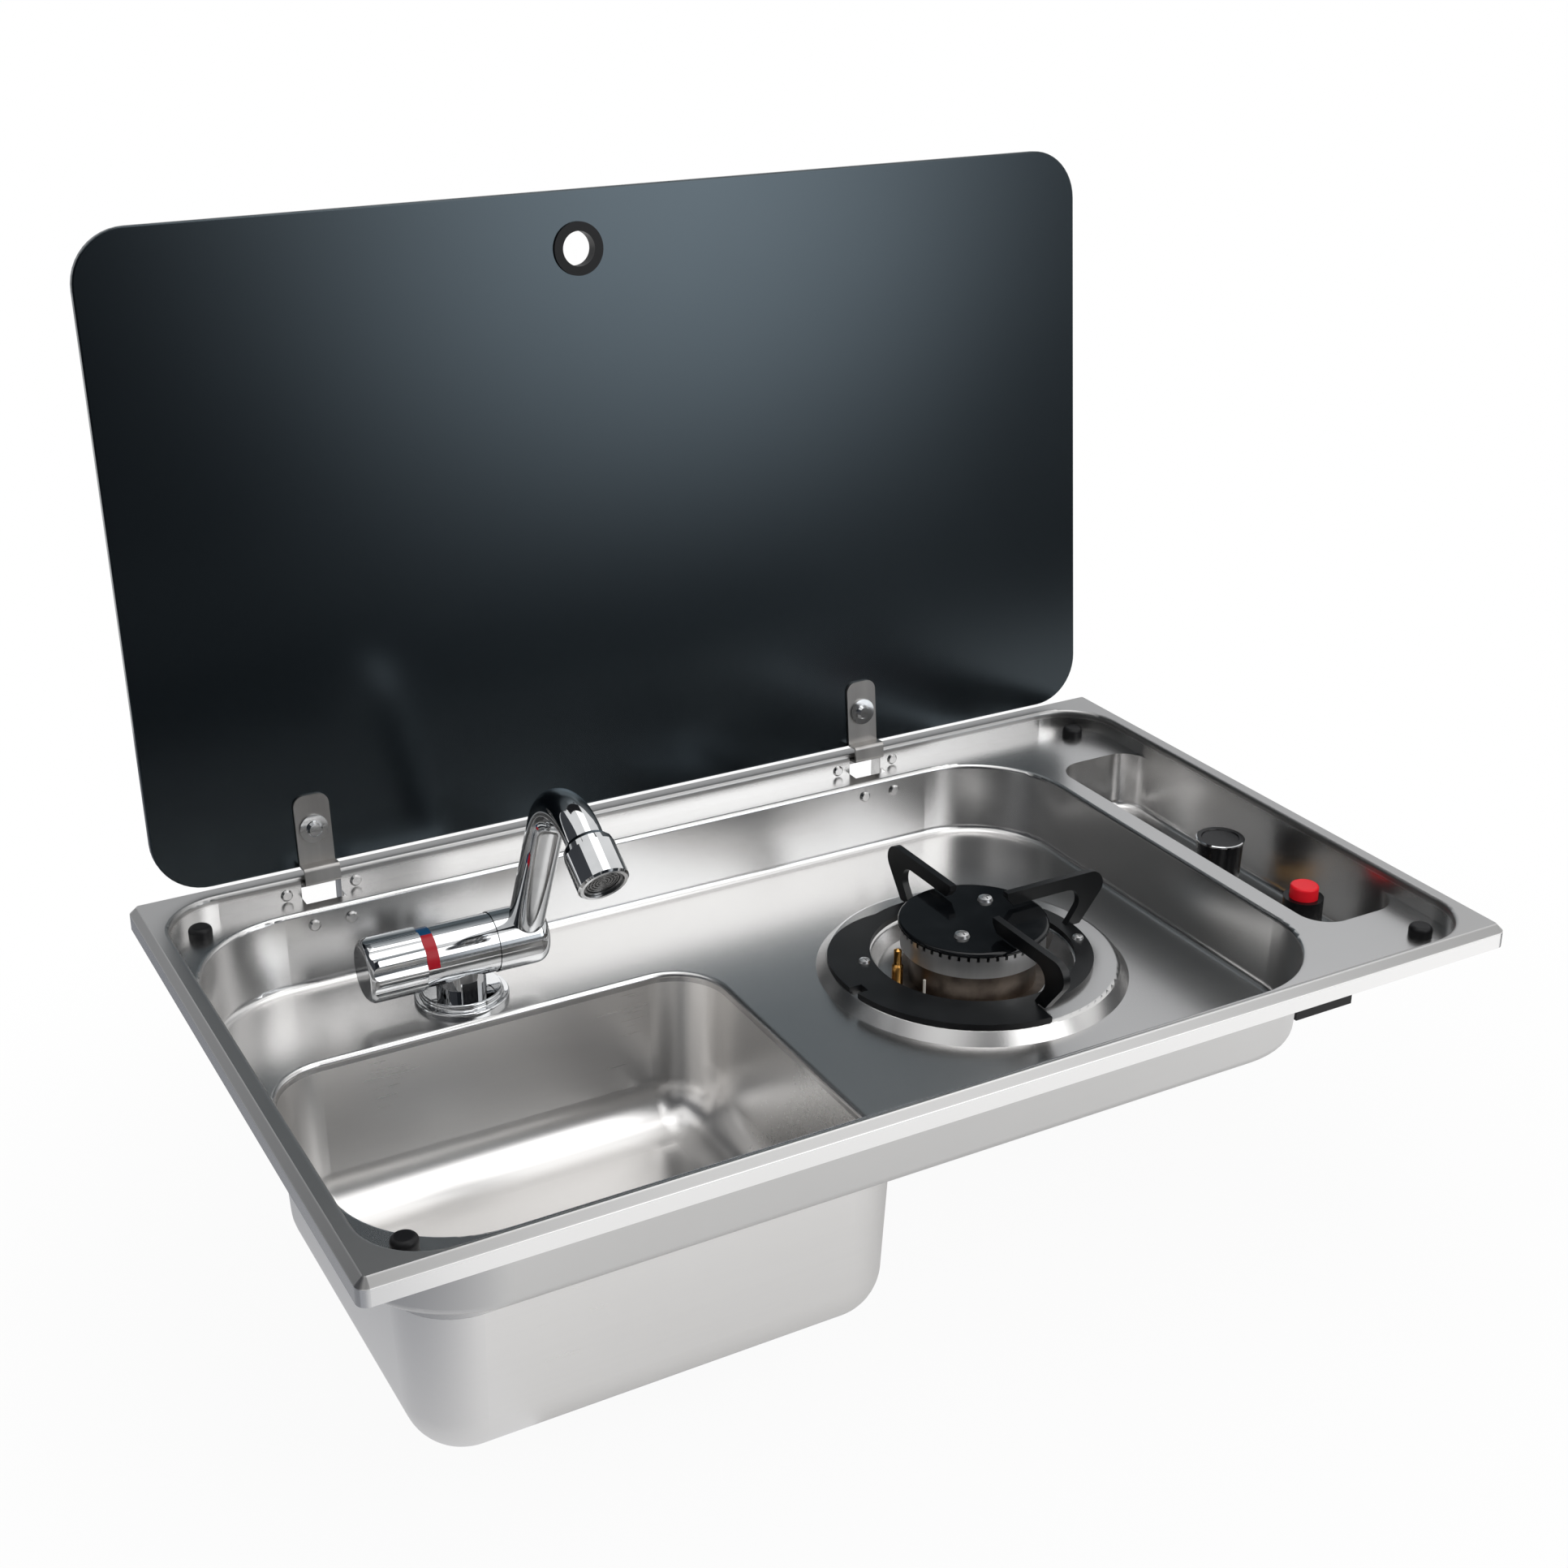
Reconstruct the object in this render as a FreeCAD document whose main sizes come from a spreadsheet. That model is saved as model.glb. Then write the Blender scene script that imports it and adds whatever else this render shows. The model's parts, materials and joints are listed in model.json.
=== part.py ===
import FreeCAD, Part
import Sketcher
import math
import os
import re

Vector = FreeCAD.Vector
Rotation = FreeCAD.Rotation
doc = FreeCAD.newDocument("sink_and_stove")
sheet = doc.addObject("Spreadsheet::Sheet", "sheet")

# driving sizes in millimetres and degrees
# z = 0 is the worktop, the origin is the middle of the front lip, y runs to the hinge side
# inside a piece, x and y are counted from the middle of the tray
sizes = {
    # tray pressing
    "tray_length": 600, "tray_width": 354, "tray_corner": 5, "flange_height": 12,
    "sheet_thick": 0.8, "edge_fold": 3.8, "recess_roll": 2.2, "rim_roll": 2.4, "floor_round": 4.5,
    "rim_side": 11, "rim_front": 6.5, "rim_back": 13, "recess_corner": 32,
    "ledge_left": 4, "ledge_front": 17, "ledge_back": 16.2, "land_width": 12.5,
    "well_corner": 57, "well_depth": 42, "well_draft": 3,
    "pocket_width": 57, "pocket_front_gap": 53, "pocket_back_gap": 51,
    "pocket_corner": 17, "pocket_depth": 35,
    # sink bowl and its drain
    "bowl_length": 239, "bowl_side_gap": 17, "bowl_front_gap": 10.5, "bowl_back_gap": 77.7,
    "bowl_corner": 30, "bowl_depth": 87, "bowl_draft": 3, "bowl_round": 26, "bowl_neck": 5,
    "bowl_roll": 2.6,
    "drain_inset": 4, "drain_shift": 8.55, "drain_hole": 21, "drain_flange": 12, "drain_lip": 1.6,
    "drain_seat": 8, "drain_seal_thick": 3, "drain_spigot_radius": 12.5, "drain_spigot_length": 30,
    "drain_shoulder": 3, "drain_wall": 2.5, "drain_screw_radius": 2.5,
    "strainer_place": 11, "strainer_hole_radius": 1.9, "strainer_count": 12,
    # burner
    "burner_shift": 1.75, "burner_hole": 40, "dish_width": 14, "dish_depth": 3, "dish_slope": 4,
    "hump_width": 29, "hump_height": 7, "hump_slope": 6, "hump_roll": 3,
    "pot_gap": 6, "pot_lip": 1.5, "pot_wall": 4,
    "crown_overhang": 4.5, "crown_height": 12, "crown_wall": 4, "crown_web": 4, "crown_hole": 12,
    "slot_width": 1.6, "slot_depth": 2.4, "slot_count": 48,
    "cap_overhang": 1.5, "cap_thick": 3.2, "cap_top": -13, "cap_screw_place": 22,
    "cap_screw_turn": 40, "cap_screw_radius": 1.5, "cap_screw_head": 4.2,
    # pan support
    "support_gap": 0.5, "support_width": 9.5, "support_thick": 3, "lobe_width": 14,
    "lobe_turn": 165, "lobe_sweep": 102, "bulge_radius": 53, "notch_width": 7,
    "arm_thick": 4, "arm_top": -3, "arm_height": 7.6, "arm_inner": 20, "arm_overhang": 21.5,
    "arm_round": 8,
    "leg_width": 9, "leg_flare": 2,
    "support_screw_turn": 164, "support_screw_radius": 1.5, "support_screw_head": 3.2,
    # flame sensing and ignition at the burner
    "probe_turn": 176, "probe_radius": 3, "probe_rise": 24, "probe_drop": 20,
    "electrode_turn": 203, "electrode_radius": 2.5, "electrode_rise": 15, "electrode_drop": 18,
    "wire_radius": 0.8,
    # gas train under the deck
    "tube_room": 1.2, "tube_radius": 9, "tube_wall": 1.5, "injector_radius": 6, "injector_length": 18,
    "knob_back_gap": 118, "valve_length": 30, "valve_width": 28, "valve_height": 30,
    "bush_radius": 8, "bush_proud": 1.2, "nut_thick": 5, "nut_across": 22,
    "gas_pipe_radius": 4, "gas_pipe_bend": 14, "gas_pipe_back": 128, "gas_pipe_end": -100,
    "gas_nut_radius": 7, "gas_nut_length": 14,
    # gas knob
    "knob_radius": 13.5, "knob_foot_radius": 12.3, "knob_lift": 5.5, "knob_height": 22,
    "spindle_radius": 4, "spindle_depth": 22, "running_gap": 0.05, "knob_ring_thick": 0.6,
    "knob_ring_height": 1.4, "safety_room": 3.5,
    # igniter
    "igniter_front_gap": 43.5, "button_radius": 7.6, "button_lift": 6, "button_height": 25.5,
    "button_round": 1.4, "button_socket": 5, "bezel_wall": 2.8, "bezel_floor": 2, "bezel_height": 26.5,
    "slide_gap": 0.3, "igniter_box_length": 38, "igniter_box_width": 54, "igniter_box_height": 22,
    "igniter_box_shift_x": -12, "igniter_box_shift_y": -9, "plunger_radius": 2.5,
    "plunger_length": 22, "igniter_bush_radius": 7.5,
    "lead_radius": 1.5, "sensor_line_radius": 1.1, "lead_bend": 8,
    # tap
    "tap_back_gap": 49.8, "tap_yaw": 1, "tap_axis_height": 27.5,
    "tap_base_radius": 24.6, "tap_base_thick": 3, "tap_step_radius": 21, "tap_step_thick": 3,
    "tap_base_round": 1.2, "tap_body_radius": 15.5, "tap_body_left": -15.5, "tap_body_right": 17,
    "tap_leg_radius": 13, "tap_leg_gap": 9, "tap_stub_radius": 9, "tap_spindle_radius": 5,
    "tap_spindle_length": 20, "mark_depth": 1.5, "mark_width": 6.5,
    "mark_turn": 105, "mark_sweep": 72,
    "tap_knob_radius": 17, "tap_knob_length": 29.5, "tap_knob_end": 5, "flute_count": 10,
    "flute_radius": 9, "flute_depth": 1.2,
    "collar_radius": 16, "collar_length": 29, "collar_round": 7, "collar_end": 6, "spout_inset": 11,
    "spout_radius": 9.5, "spout_wall": 1.5, "spout_lean": 26, "spout_straight": 89, "spout_bend": 32,
    "spout_turn": 97, "spout_neck": 13.5, "spout_socket": 12.5,
    "nozzle_radius": 12.8, "nozzle_length": 23, "nozzle_socket": 8,
    "mesh_radius": 10.2, "mesh_thick": 4, "mesh_inset": 1.2,
    "shank_radius": 10, "shank_length": 38, "tap_washer_radius": 19, "tap_washer_thick": 2,
    "tap_nut_across": 30, "tap_nut_thick": 9, "tail_radius": 4, "tail_length": 45, "tail_place": 5,
    # lid
    "lid_side_gap": 3, "lid_front_gap": 0.5, "lid_wall_gap": 1.8, "lid_thick": 5, "lid_corner": 28,
    "lid_rest_gap": 0.3, "lid_open": 95.4, "grommet_x": -29.3, "grommet_edge": 30,
    "grommet_hole": 9, "grommet_radius": 13.8, "grommet_lip": 1.2, "grommet_wall": 2,
    # hinges
    "hinge_left_inset": 83.5, "hinge_right_inset": 155, "pin_back": 5.8, "pin_z": 8, "pin_radius": 1.25,
    "knuckle_radius": 2.75, "strap_width": 19, "strap_thick": 1.5, "strap_end": 46.5,
    "strap_corner": 6, "strap_drop_y": 8.5, "strap_drop_z": 10.5, "strap_screw_place": 28,
    "strap_screw_radius": 2, "strap_head_radius": 4.2, "strap_head_height": 2.4,
    "strap_washer_radius": 7.6, "strap_washer_thick": 1.2, "strap_cap_radius": 7, "strap_cap_thick": 4,
    "slot_side_gap": 1.25, "slot_room": 4, "slot_wall": 1.6,
    "ear_thick": 1.5, "ear_reach": 4.7, "fold_gap": 0.3, "bracket_floor": -13.5,
    "tab_reach": 25, "tab_top": 7.5, "flange_rise": 10, "wall_gap": 0.1,
    "rivet_radius": 1.6, "rivet_head": 3.2, "rivet_head_height": 1.2,
    "wall_rivet_place": 18.7, "wall_rivet_z": 3.6, "well_rivet_place": 10, "well_rivet_z": -8.2,
    # lid bumpers
    "bumper_radius": 6, "bumper_height": 5.7, "bumper_stem": 3, "bumper_side": 18,
    "bumper_front_gap": 23, "bumper_back_gap": 15.5,
}
# places and fits that follow from the sizes
fits = {
    "front_lip": "tray_width / 2 - sheet_thick / 2",
    "recess_right": "tray_length / 2 - rim_side",
    "recess_front": "rim_front - tray_width / 2",
    "recess_back": "tray_width / 2 - rim_back",
    "pocket_left": "recess_right - pocket_width",
    "pocket_front": "recess_front + pocket_front_gap",
    "pocket_back": "recess_back - pocket_back_gap",
    "well_left": "ledge_left - recess_right",
    "well_right": "pocket_left - land_width",
    "well_front": "recess_front + ledge_front",
    "well_back": "recess_back - ledge_back",
    "bowl_left": "well_left + bowl_side_gap",
    "bowl_right": "bowl_left + bowl_length",
    "bowl_front": "well_front + bowl_front_gap",
    "bowl_back": "well_back - bowl_back_gap",
    "bowl_floor": "-well_depth - bowl_depth",
    "drain_x": "bowl_left + bowl_length / 2 - drain_inset",
    "drain_y": "(bowl_front + bowl_back) / 2 - drain_shift",
    "drain_flange_radius": "drain_hole + drain_flange",
    "drain_cup_radius": "drain_hole + drain_seat",
    "drain_cup_height": "2 * (drain_spigot_radius + drain_wall)",
    "drain_root": "drain_cup_radius + drain_shoulder",
    "drain_reach": "drain_root + drain_spigot_length",
    "burner_x": "(bowl_right + well_right) / 2 + burner_shift",
    "burner_y": "(well_front + well_back) / 2",
    "pot_radius": "burner_hole - pot_gap",
    "pot_flange_radius": "burner_hole + pot_lip",
    "crown_radius": "pot_radius + crown_overhang",
    "cap_radius": "crown_radius + cap_overhang",
    "dish_radius": "burner_hole + dish_width",
    "dish_floor": "-well_depth - dish_depth",
    "hump_radius": "dish_radius + hump_width",
    "hump_top": "-well_depth + hump_height",
    "probe_place": "burner_hole + (dish_width - dish_slope) / 2",
    "support_inner": "dish_radius + support_gap",
    "support_outer": "support_inner + support_width",
    "support_lobe": "support_outer + lobe_width",
    "support_top": "hump_top + support_thick",
    "support_screw_place": "(support_inner + support_outer) / 2",
    "arm_foot": "support_outer",
    "arm_outer": "support_outer + arm_overhang",
    "tube_drop": "dish_floor - sheet_thick - pot_wall / 2 - tube_room - tube_radius",
    "pot_bottom": "tube_drop - tube_radius - pot_wall",
    "valve_x": "pocket_left + pocket_width / 2",
    "valve_y": "pocket_back - knob_back_gap",
    "valve_top": "-pocket_depth - sheet_thick",
    "bush_height": "sheet_thick + nut_thick + bush_proud",
    "knob_foot": "-pocket_depth + nut_thick + knob_lift",
    "knob_top": "knob_foot + knob_height",
    "igniter_x": "valve_x",
    "igniter_y": "pocket_front + igniter_front_gap",
    "bezel_radius": "button_radius + slide_gap + bezel_wall",
    "button_foot": "-pocket_depth + bezel_floor + button_lift",
    "tap_x": "drain_x",
    "tap_y": "well_back - tap_back_gap",
    "mark_left": "tap_body_left - mark_width",
    "tap_stub_length": "collar_length - collar_end",
    "collar_face": "tap_body_right + slide_gap",
    "spout_place": "collar_face + collar_length - spout_inset",
    "lid_length": "2 * (recess_right - lid_side_gap)",
    "lid_width": "recess_back - recess_front - lid_front_gap - lid_wall_gap",
    "lid_lift": "bumper_height + lid_rest_gap",
    "lid_back_gap": "pin_back + lid_wall_gap",
    "pin_y": "recess_back + pin_back",
    "hinge_left_x": "hinge_left_inset - lid_length / 2",
    "hinge_right_x": "lid_length / 2 - hinge_right_inset",
    "slot_half": "strap_width / 2 + slot_side_gap",
    "slot_front": "pin_y - strap_drop_y - strap_thick / 2 - slot_room",
    "slot_top": "flange_height - slot_wall",
    "ear_front": "recess_back + sheet_thick + fold_gap",
    "ear_back": "pin_y + ear_reach",
    "bumper_x": "recess_right - bumper_side",
    "bumper_front": "recess_front + bumper_front_gap",
    "bumper_back": "recess_back - bumper_back_gap",
}
for row, (alias, size) in enumerate(sizes.items(), 1):
    sheet.set("A%d" % row, alias)
    sheet.set("B%d" % row, str(size))
    sheet.setAlias("B%d" % row, alias)
doc.recompute()
nodes = []


# shared helpers: rules are sums of the named sizes, kept live in the document

def spell(word):
    name = word.group()
    if name in fits:
        return "(%s)" % rule(fits[name])
    return "sheet." + name if name in sizes else name


def rule(text):
    return re.sub(r"[a-z]\w*", spell, str(text))


def value(text):
    return float(sheet.evalExpression(rule(text)))


def bind(item, rules):
    for path, text in rules.items():
        item.setExpression(path, rule(text))


spins = {
    "z": Rotation(),
    "-z": Rotation(Vector(1, 0, 0), 180),
    "x": Rotation(Vector(0, 1, 0), 90),
    "-x": Rotation(Vector(0, 1, 0), -90),
    "y": Rotation(Vector(1, 0, 0), -90),
    "-y": Rotation(Vector(1, 0, 0), 90),
}


def place(item, x, y, z, along="z"):
    item.Placement = FreeCAD.Placement(Vector(), spins[along])
    bind(item, {"Placement.Base.x": x, "Placement.Base.y": "%s + front_lip" % y, "Placement.Base.z": z})
    return item


def node(label, item):
    item.Label = label
    nodes.append(item)
    return item


def rod(name, radius, length, x, y, z, along="z"):
    item = doc.addObject("Part::Cylinder", name)
    bind(item, {"Radius": radius, "Height": length})
    return place(item, x, y, z, along)


def block(name, length, width, height, x, y, z):
    item = doc.addObject("Part::Box", name)
    bind(item, {"Length": length, "Width": width, "Height": height})
    return place(item, x, y, z)


def cut(name, base, *tools):
    item = doc.addObject("Part::Cut", name)
    item.Base = base
    item.Tool = tools[0] if len(tools) == 1 else join(name + "_tools", tools)
    return item


def join(name, items):
    item = doc.addObject("Part::MultiFuse", name)
    item.Shapes = list(items)
    return item


def group(name, items):
    item = doc.addObject("Part::Compound", name)
    item.Links = list(items)
    return item


def new_body(name):
    return doc.addObject("PartDesign::Body", name)


def new_sketch(body, name, plane, offset):
    sketch = body.newObject("Sketcher::SketchObject", name)
    support = [part for part in body.Origin.OriginFeatures if part.Role == plane]
    sketch.AttachmentSupport = [(support[0], "")]
    sketch.MapMode = "FlatFace"
    bind(sketch, {"AttachmentOffset.Base.z": offset})
    return sketch


def pin_point(sketch, line, end, x, y):
    for kind, text in (("DistanceX", x), ("DistanceY", y)):
        spot = sketch.addConstraint(Sketcher.Constraint(kind, -1, 1, line, end, value(text)))
        bind(sketch, {"Constraints[%d]" % spot: text})


def polygon(body, name, plane, points, offset="0"):
    sketch = new_sketch(body, name, plane, offset)
    spots = [Vector(value(x), value(y), 0) for x, y in points]
    count = len(spots)
    for i in range(count):
        sketch.addGeometry(Part.LineSegment(spots[i], spots[(i + 1) % count]))
    for i in range(count):
        sketch.addConstraint(Sketcher.Constraint("Coincident", i, 2, (i + 1) % count, 1))
    for i, (x, y) in enumerate(points):
        pin_point(sketch, i, 1, x, y)
    return sketch


def rounded(body, name, left, right, front, back, corner, height):
    sketch = new_sketch(body, name, "XY_Plane", height)
    x0, x1, y0, y1, r = [value(text) for text in (left, right, front, back, corner)]
    runs = [((x0 + r, y0), (x1 - r, y0)), ((x1, y0 + r), (x1, y1 - r)),
            ((x1 - r, y1), (x0 + r, y1)), ((x0, y1 - r), (x0, y0 + r))]
    middles = [(x1 - r, y0 + r), (x1 - r, y1 - r), (x0 + r, y1 - r), (x0 + r, y0 + r)]
    for start, end in runs:
        sketch.addGeometry(Part.LineSegment(Vector(*start, 0), Vector(*end, 0)))
    for i, middle in enumerate(middles):
        circle = Part.Circle(Vector(*middle, 0), Vector(0, 0, 1), r)
        turn = math.radians(90 * (i - 1))
        sketch.addGeometry(Part.ArcOfCircle(circle, turn, turn + math.pi / 2))
    for i in range(4):
        sketch.addConstraint(Sketcher.Constraint("Tangent", i, 2, 4 + i, 1))
        sketch.addConstraint(Sketcher.Constraint("Tangent", 4 + i, 2, (i + 1) % 4, 1))
        sketch.addConstraint(Sketcher.Constraint("Horizontal" if i % 2 == 0 else "Vertical", i))
    for i in range(1, 4):
        sketch.addConstraint(Sketcher.Constraint("Equal", 4, 4 + i))
    marks = [("Radius", (4,), corner),
             ("DistanceY", (-1, 1, 0, 1), front), ("DistanceX", (-1, 1, 1, 1), right),
             ("DistanceY", (-1, 1, 2, 1), back), ("DistanceX", (-1, 1, 3, 1), left)]
    for kind, refs, text in marks:
        spot = sketch.addConstraint(Sketcher.Constraint(kind, *refs, value(text)))
        bind(sketch, {"Constraints[%d]" % spot: text})
    return sketch


def pad(body, sketch, length, down=False, taper="0"):
    item = body.newObject("PartDesign::Pad", sketch.Name + "_pad")
    item.Profile = sketch
    item.Reversed = down
    bind(item, {"Length": length, "TaperAngle": taper})
    doc.recompute()
    return item


def sink(body, sketch, depth, taper="0"):
    item = body.newObject("PartDesign::Pocket", sketch.Name + "_pocket")
    item.Profile = sketch
    bind(item, {"Length": depth, "TaperAngle": taper})
    doc.recompute()
    return item


def soften(body, radius, wanted):
    base = body.Tip
    names = ["Edge%d" % i for i, edge in enumerate(base.Shape.Edges, 1) if wanted(edge)]
    item = body.newObject("PartDesign::Fillet", base.Name + "_round")
    item.Base = (base, names)
    bind(item, {"Radius": radius})
    doc.recompute()
    return item


def slope(body, size, wanted):
    base = body.Tip
    names = ["Edge%d" % i for i, edge in enumerate(base.Shape.Edges, 1) if wanted(edge)]
    item = body.newObject("PartDesign::Chamfer", base.Name + "_slope")
    item.Base = (base, names)
    bind(item, {"Size": size})
    doc.recompute()
    return item


def level(height, reach_left="-1000", reach_right="1000"):
    z = value(height)
    low, high = value(reach_left), value(reach_right)

    def test(edge):
        box = edge.BoundBox
        flat = abs(box.ZMin - z) < 0.01 and abs(box.ZMax - z) < 0.01
        return flat and box.XMin > low - 0.01 and box.XMax < high + 0.01
    return test


def turned(name, profile, x, y, z, along="z"):
    body = new_body(name)
    sketch = polygon(body, name + "_profile", "XZ_Plane", profile)
    item = body.newObject("PartDesign::Revolution", name + "_spin")
    item.Profile = sketch
    item.ReferenceAxis = (sketch, ["V_Axis"])
    item.Angle = 360
    doc.recompute()
    return place(body, x, y, z, along)


def turned_along(name, profile):
    body = new_body(name)
    sketch = polygon(body, name + "_profile", "XY_Plane", profile)
    item = body.newObject("PartDesign::Revolution", name + "_spin")
    item.Profile = sketch
    item.ReferenceAxis = (sketch, ["H_Axis"])
    item.Angle = 360
    doc.recompute()
    return body


def disc(body, name, plane, x, y, radius, offset="0"):
    sketch = new_sketch(body, name, plane, offset)
    circle = Part.Circle(Vector(value(x), value(y), 0), Vector(0, 0, 1), value(radius))
    sketch.addGeometry(circle)
    pin_point(sketch, 0, 3, x, y)
    spot = sketch.addConstraint(Sketcher.Constraint("Radius", 0, value(radius)))
    bind(sketch, {"Constraints[%d]" % spot: radius})
    return sketch


def slab(body, sketch, thick):
    item = pad(body, sketch, thick)
    item.Midplane = True
    doc.recompute()
    return item


def repeat(body, name, feature, axis, count):
    item = body.newObject("PartDesign::PolarPattern", name)
    item.Originals = [feature]
    item.Axis = ([part for part in body.Origin.OriginFeatures if part.Role == axis][0], [""])
    bind(item, {"Occurrences": count})
    body.Tip = item
    doc.recompute()


def hexagon(name, across, thick, x, y, z, bore):
    item = doc.addObject("Part::Prism", name + "_stock")
    item.Polygon = 6
    bind(item, {"Circumradius": "%s / sqrt(3)" % across, "Height": thick})
    place(item, x, y, z)
    return cut(name, item, rod(name + "_bore", bore, "%s + 2" % thick, x, y, "%s - 1" % z))


def pipe(name, radius, bend, stops):
    spots = [Vector(*[value(text) for text in stop]) for stop in stops]
    edges = []
    start = spots[0]
    for before, corner, after in zip(spots, spots[1:], spots[2:]):
        back = (before - corner).normalize()
        ahead = (after - corner).normalize()
        middle = (back + ahead).normalize()
        first = corner + back * value(bend)
        last = corner + ahead * value(bend)
        crest = corner + middle * (value(bend) * (math.sqrt(2) - 1))
        edges.append(Part.makeLine(start, first))
        edges.append(Part.Arc(first, crest, last).toShape())
        start = last
    edges.append(Part.makeLine(start, spots[-1]))
    ring = Part.Wire([Part.makeCircle(value(radius), spots[0], spots[1] - spots[0])])
    item = doc.addObject("Part::Feature", name)
    item.Shape = Part.Wire(edges).makePipeShell([ring], True, False)
    return place(item, "0", "0", "0")


# tray pressing: the upper and the lower side of the sheet are two forms, cut from each other

def press_form(name, grow, spare):
    body = new_body(name)
    top = "flange_height - %s" % grow
    half_x = "tray_length / 2 - %s" % grow
    half_y = "tray_width / 2 - %s" % grow
    rim = rounded(body, name + "_rim", "-(%s)" % half_x, half_x, "-(%s)" % half_y, half_y,
                  "tray_corner - %s" % grow, top)
    pad(body, rim, top, down=True)
    slope(body, "edge_fold - 0.6 * %s" % grow, level(top))
    wall = "recess_right + %s"
    front = "recess_front - %s"
    back = "recess_back + %s"
    core = rounded(body, name + "_core", "-(%s)" % (wall % spare), wall % spare, front % spare, back % spare,
                   "recess_corner", "0")
    pad(body, core, "well_depth + bowl_neck", down=True)
    # recess that takes the lid
    recess = rounded(body, name + "_recess", "-(%s)" % (wall % grow), wall % grow, front % grow, back % grow,
                     "recess_corner + %s" % grow, top)
    sink(body, recess, "flange_height")
    soften(body, "recess_roll - %s" % grow, level(top, "-(%s)" % (wall % grow), wall % grow))
    # well for the burner, the tap and the bowl
    left = "well_left - %s" % grow
    right = "well_right + %s" % grow
    well = rounded(body, name + "_well", left, right, "well_front - %s" % grow, "well_back + %s" % grow,
                   "well_corner + %s" % grow, "0 - %s" % grow)
    sink(body, well, "well_depth", "-well_draft")
    soften(body, "rim_roll - %s" % grow, level("0 - %s" % grow, left, right))
    soften(body, "floor_round + %s" % grow, level("-well_depth - %s" % grow, left, right))
    # rolled mouth of the bowl
    left = "bowl_left - %s" % grow
    right = "bowl_right + %s" % grow
    mouth = rounded(body, name + "_mouth", left, right, "bowl_front - %s" % grow, "bowl_back + %s" % grow,
                    "bowl_corner + %s" % grow, "-well_depth - %s" % grow)
    sink(body, mouth, "bowl_neck + 1")
    soften(body, "bowl_roll - %s" % grow, level("-well_depth - %s" % grow, left, right))
    # pocket for the controls, its outer wall in line with the recess wall
    left = "pocket_left - %s" % grow
    pocket = rounded(body, name + "_pocket", left, wall % grow, "pocket_front - %s" % grow,
                     "pocket_back + %s" % grow, "pocket_corner + %s" % grow, "0 - %s" % grow)
    sink(body, pocket, "pocket_depth")
    soften(body, "floor_round + %s" % grow, level("-pocket_depth - %s" % grow, left, wall % grow))
    return place(body, "0", "0", "0")


upper_form = press_form("upper_form", "0", "2 * sheet_thick")
lower_form = press_form("lower_form", "sheet_thick", "4 * sheet_thick")
pressed = cut("pressed", upper_form, lower_form)

# raised ring and sunken dish round the burner, one with the tray
hump = turned("hump", [
    ("hump_radius + 2", "-well_depth"),
    ("hump_radius", "-well_depth"),
    ("hump_radius - hump_slope", "hump_top"),
    ("dish_radius", "hump_top"),
    ("dish_radius - dish_slope", "dish_floor"),
    ("burner_hole", "dish_floor"),
    ("burner_hole", "dish_floor - sheet_thick"),
    ("dish_radius - dish_slope + sheet_thick", "dish_floor - sheet_thick"),
    ("dish_radius + sheet_thick", "hump_top - sheet_thick"),
    ("hump_radius - hump_slope - sheet_thick", "hump_top - sheet_thick"),
    ("hump_radius - sheet_thick", "-well_depth - sheet_thick"),
    ("hump_radius + 2", "-well_depth - sheet_thick"),
], "burner_x", "burner_y", "0")
soften(hump, "hump_roll", level("hump_top"))
hump_bore = rod("hump_bore", "hump_radius + 2", "20", "burner_x", "burner_y", "-well_depth - 10")
deck = join("deck", [cut("holed_floor", pressed, hump_bore), hump])

# cut-outs and holes in the tray
hinges = {"left": "hinge_left_x", "right": "hinge_right_x"}
holes = []
for side, hinge_x in hinges.items():
    holes.append(block("slot_" + side, "2 * slot_half", "recess_back + 2 - slot_front", "slot_top + 5",
                       "%s - slot_half" % hinge_x, "slot_front", "-5"))
    for sign in (-1, 1):
        mark = "%s_%d" % (side, (sign + 1) // 2)
        wall_x = "%s + %d * wall_rivet_place" % (hinge_x, sign)
        well_x = "%s + %d * well_rivet_place" % (hinge_x, sign)
        holes.append(rod("wall_hole_" + mark, "rivet_radius", "6", wall_x, "recess_back - 3",
                         "wall_rivet_z", "y"))
        holes.append(rod("well_hole_" + mark, "rivet_radius", "8", well_x, "well_back - 4",
                         "well_rivet_z", "y"))
bumper_spots = [(x, y) for x in ("-bumper_x", "bumper_x") for y in ("bumper_front", "bumper_back")]
for i, (x, y) in enumerate(bumper_spots):
    holes.append(rod("bumper_hole_%d" % i, "bumper_stem", "4", x, y, "-2"))
holes.append(rod("tap_hole", "shank_radius + slide_gap", "4", "tap_x", "tap_y", "-well_depth - 2"))
holes.append(rod("valve_hole", "bush_radius + slide_gap", "4", "valve_x", "valve_y", "-pocket_depth - 2"))
holes.append(rod("igniter_hole", "igniter_bush_radius + slide_gap", "4", "igniter_x", "igniter_y",
                 "-pocket_depth - 2"))
probe_x = "burner_x + probe_place * cos(probe_turn)"
probe_y = "burner_y + probe_place * sin(probe_turn)"
electrode_x = "burner_x + probe_place * cos(electrode_turn)"
electrode_y = "burner_y + probe_place * sin(electrode_turn)"
holes.append(rod("probe_hole", "probe_radius", "4", probe_x, probe_y, "dish_floor - 2"))
holes.append(rod("electrode_hole", "electrode_radius", "4", electrode_x, electrode_y, "dish_floor - 2"))
screw_spots = []
for turn in ("support_screw_turn", "support_screw_turn + 180"):
    screw_spots.append(("burner_x + support_screw_place * cos(%s)" % turn,
                        "burner_y + support_screw_place * sin(%s)" % turn))
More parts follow.
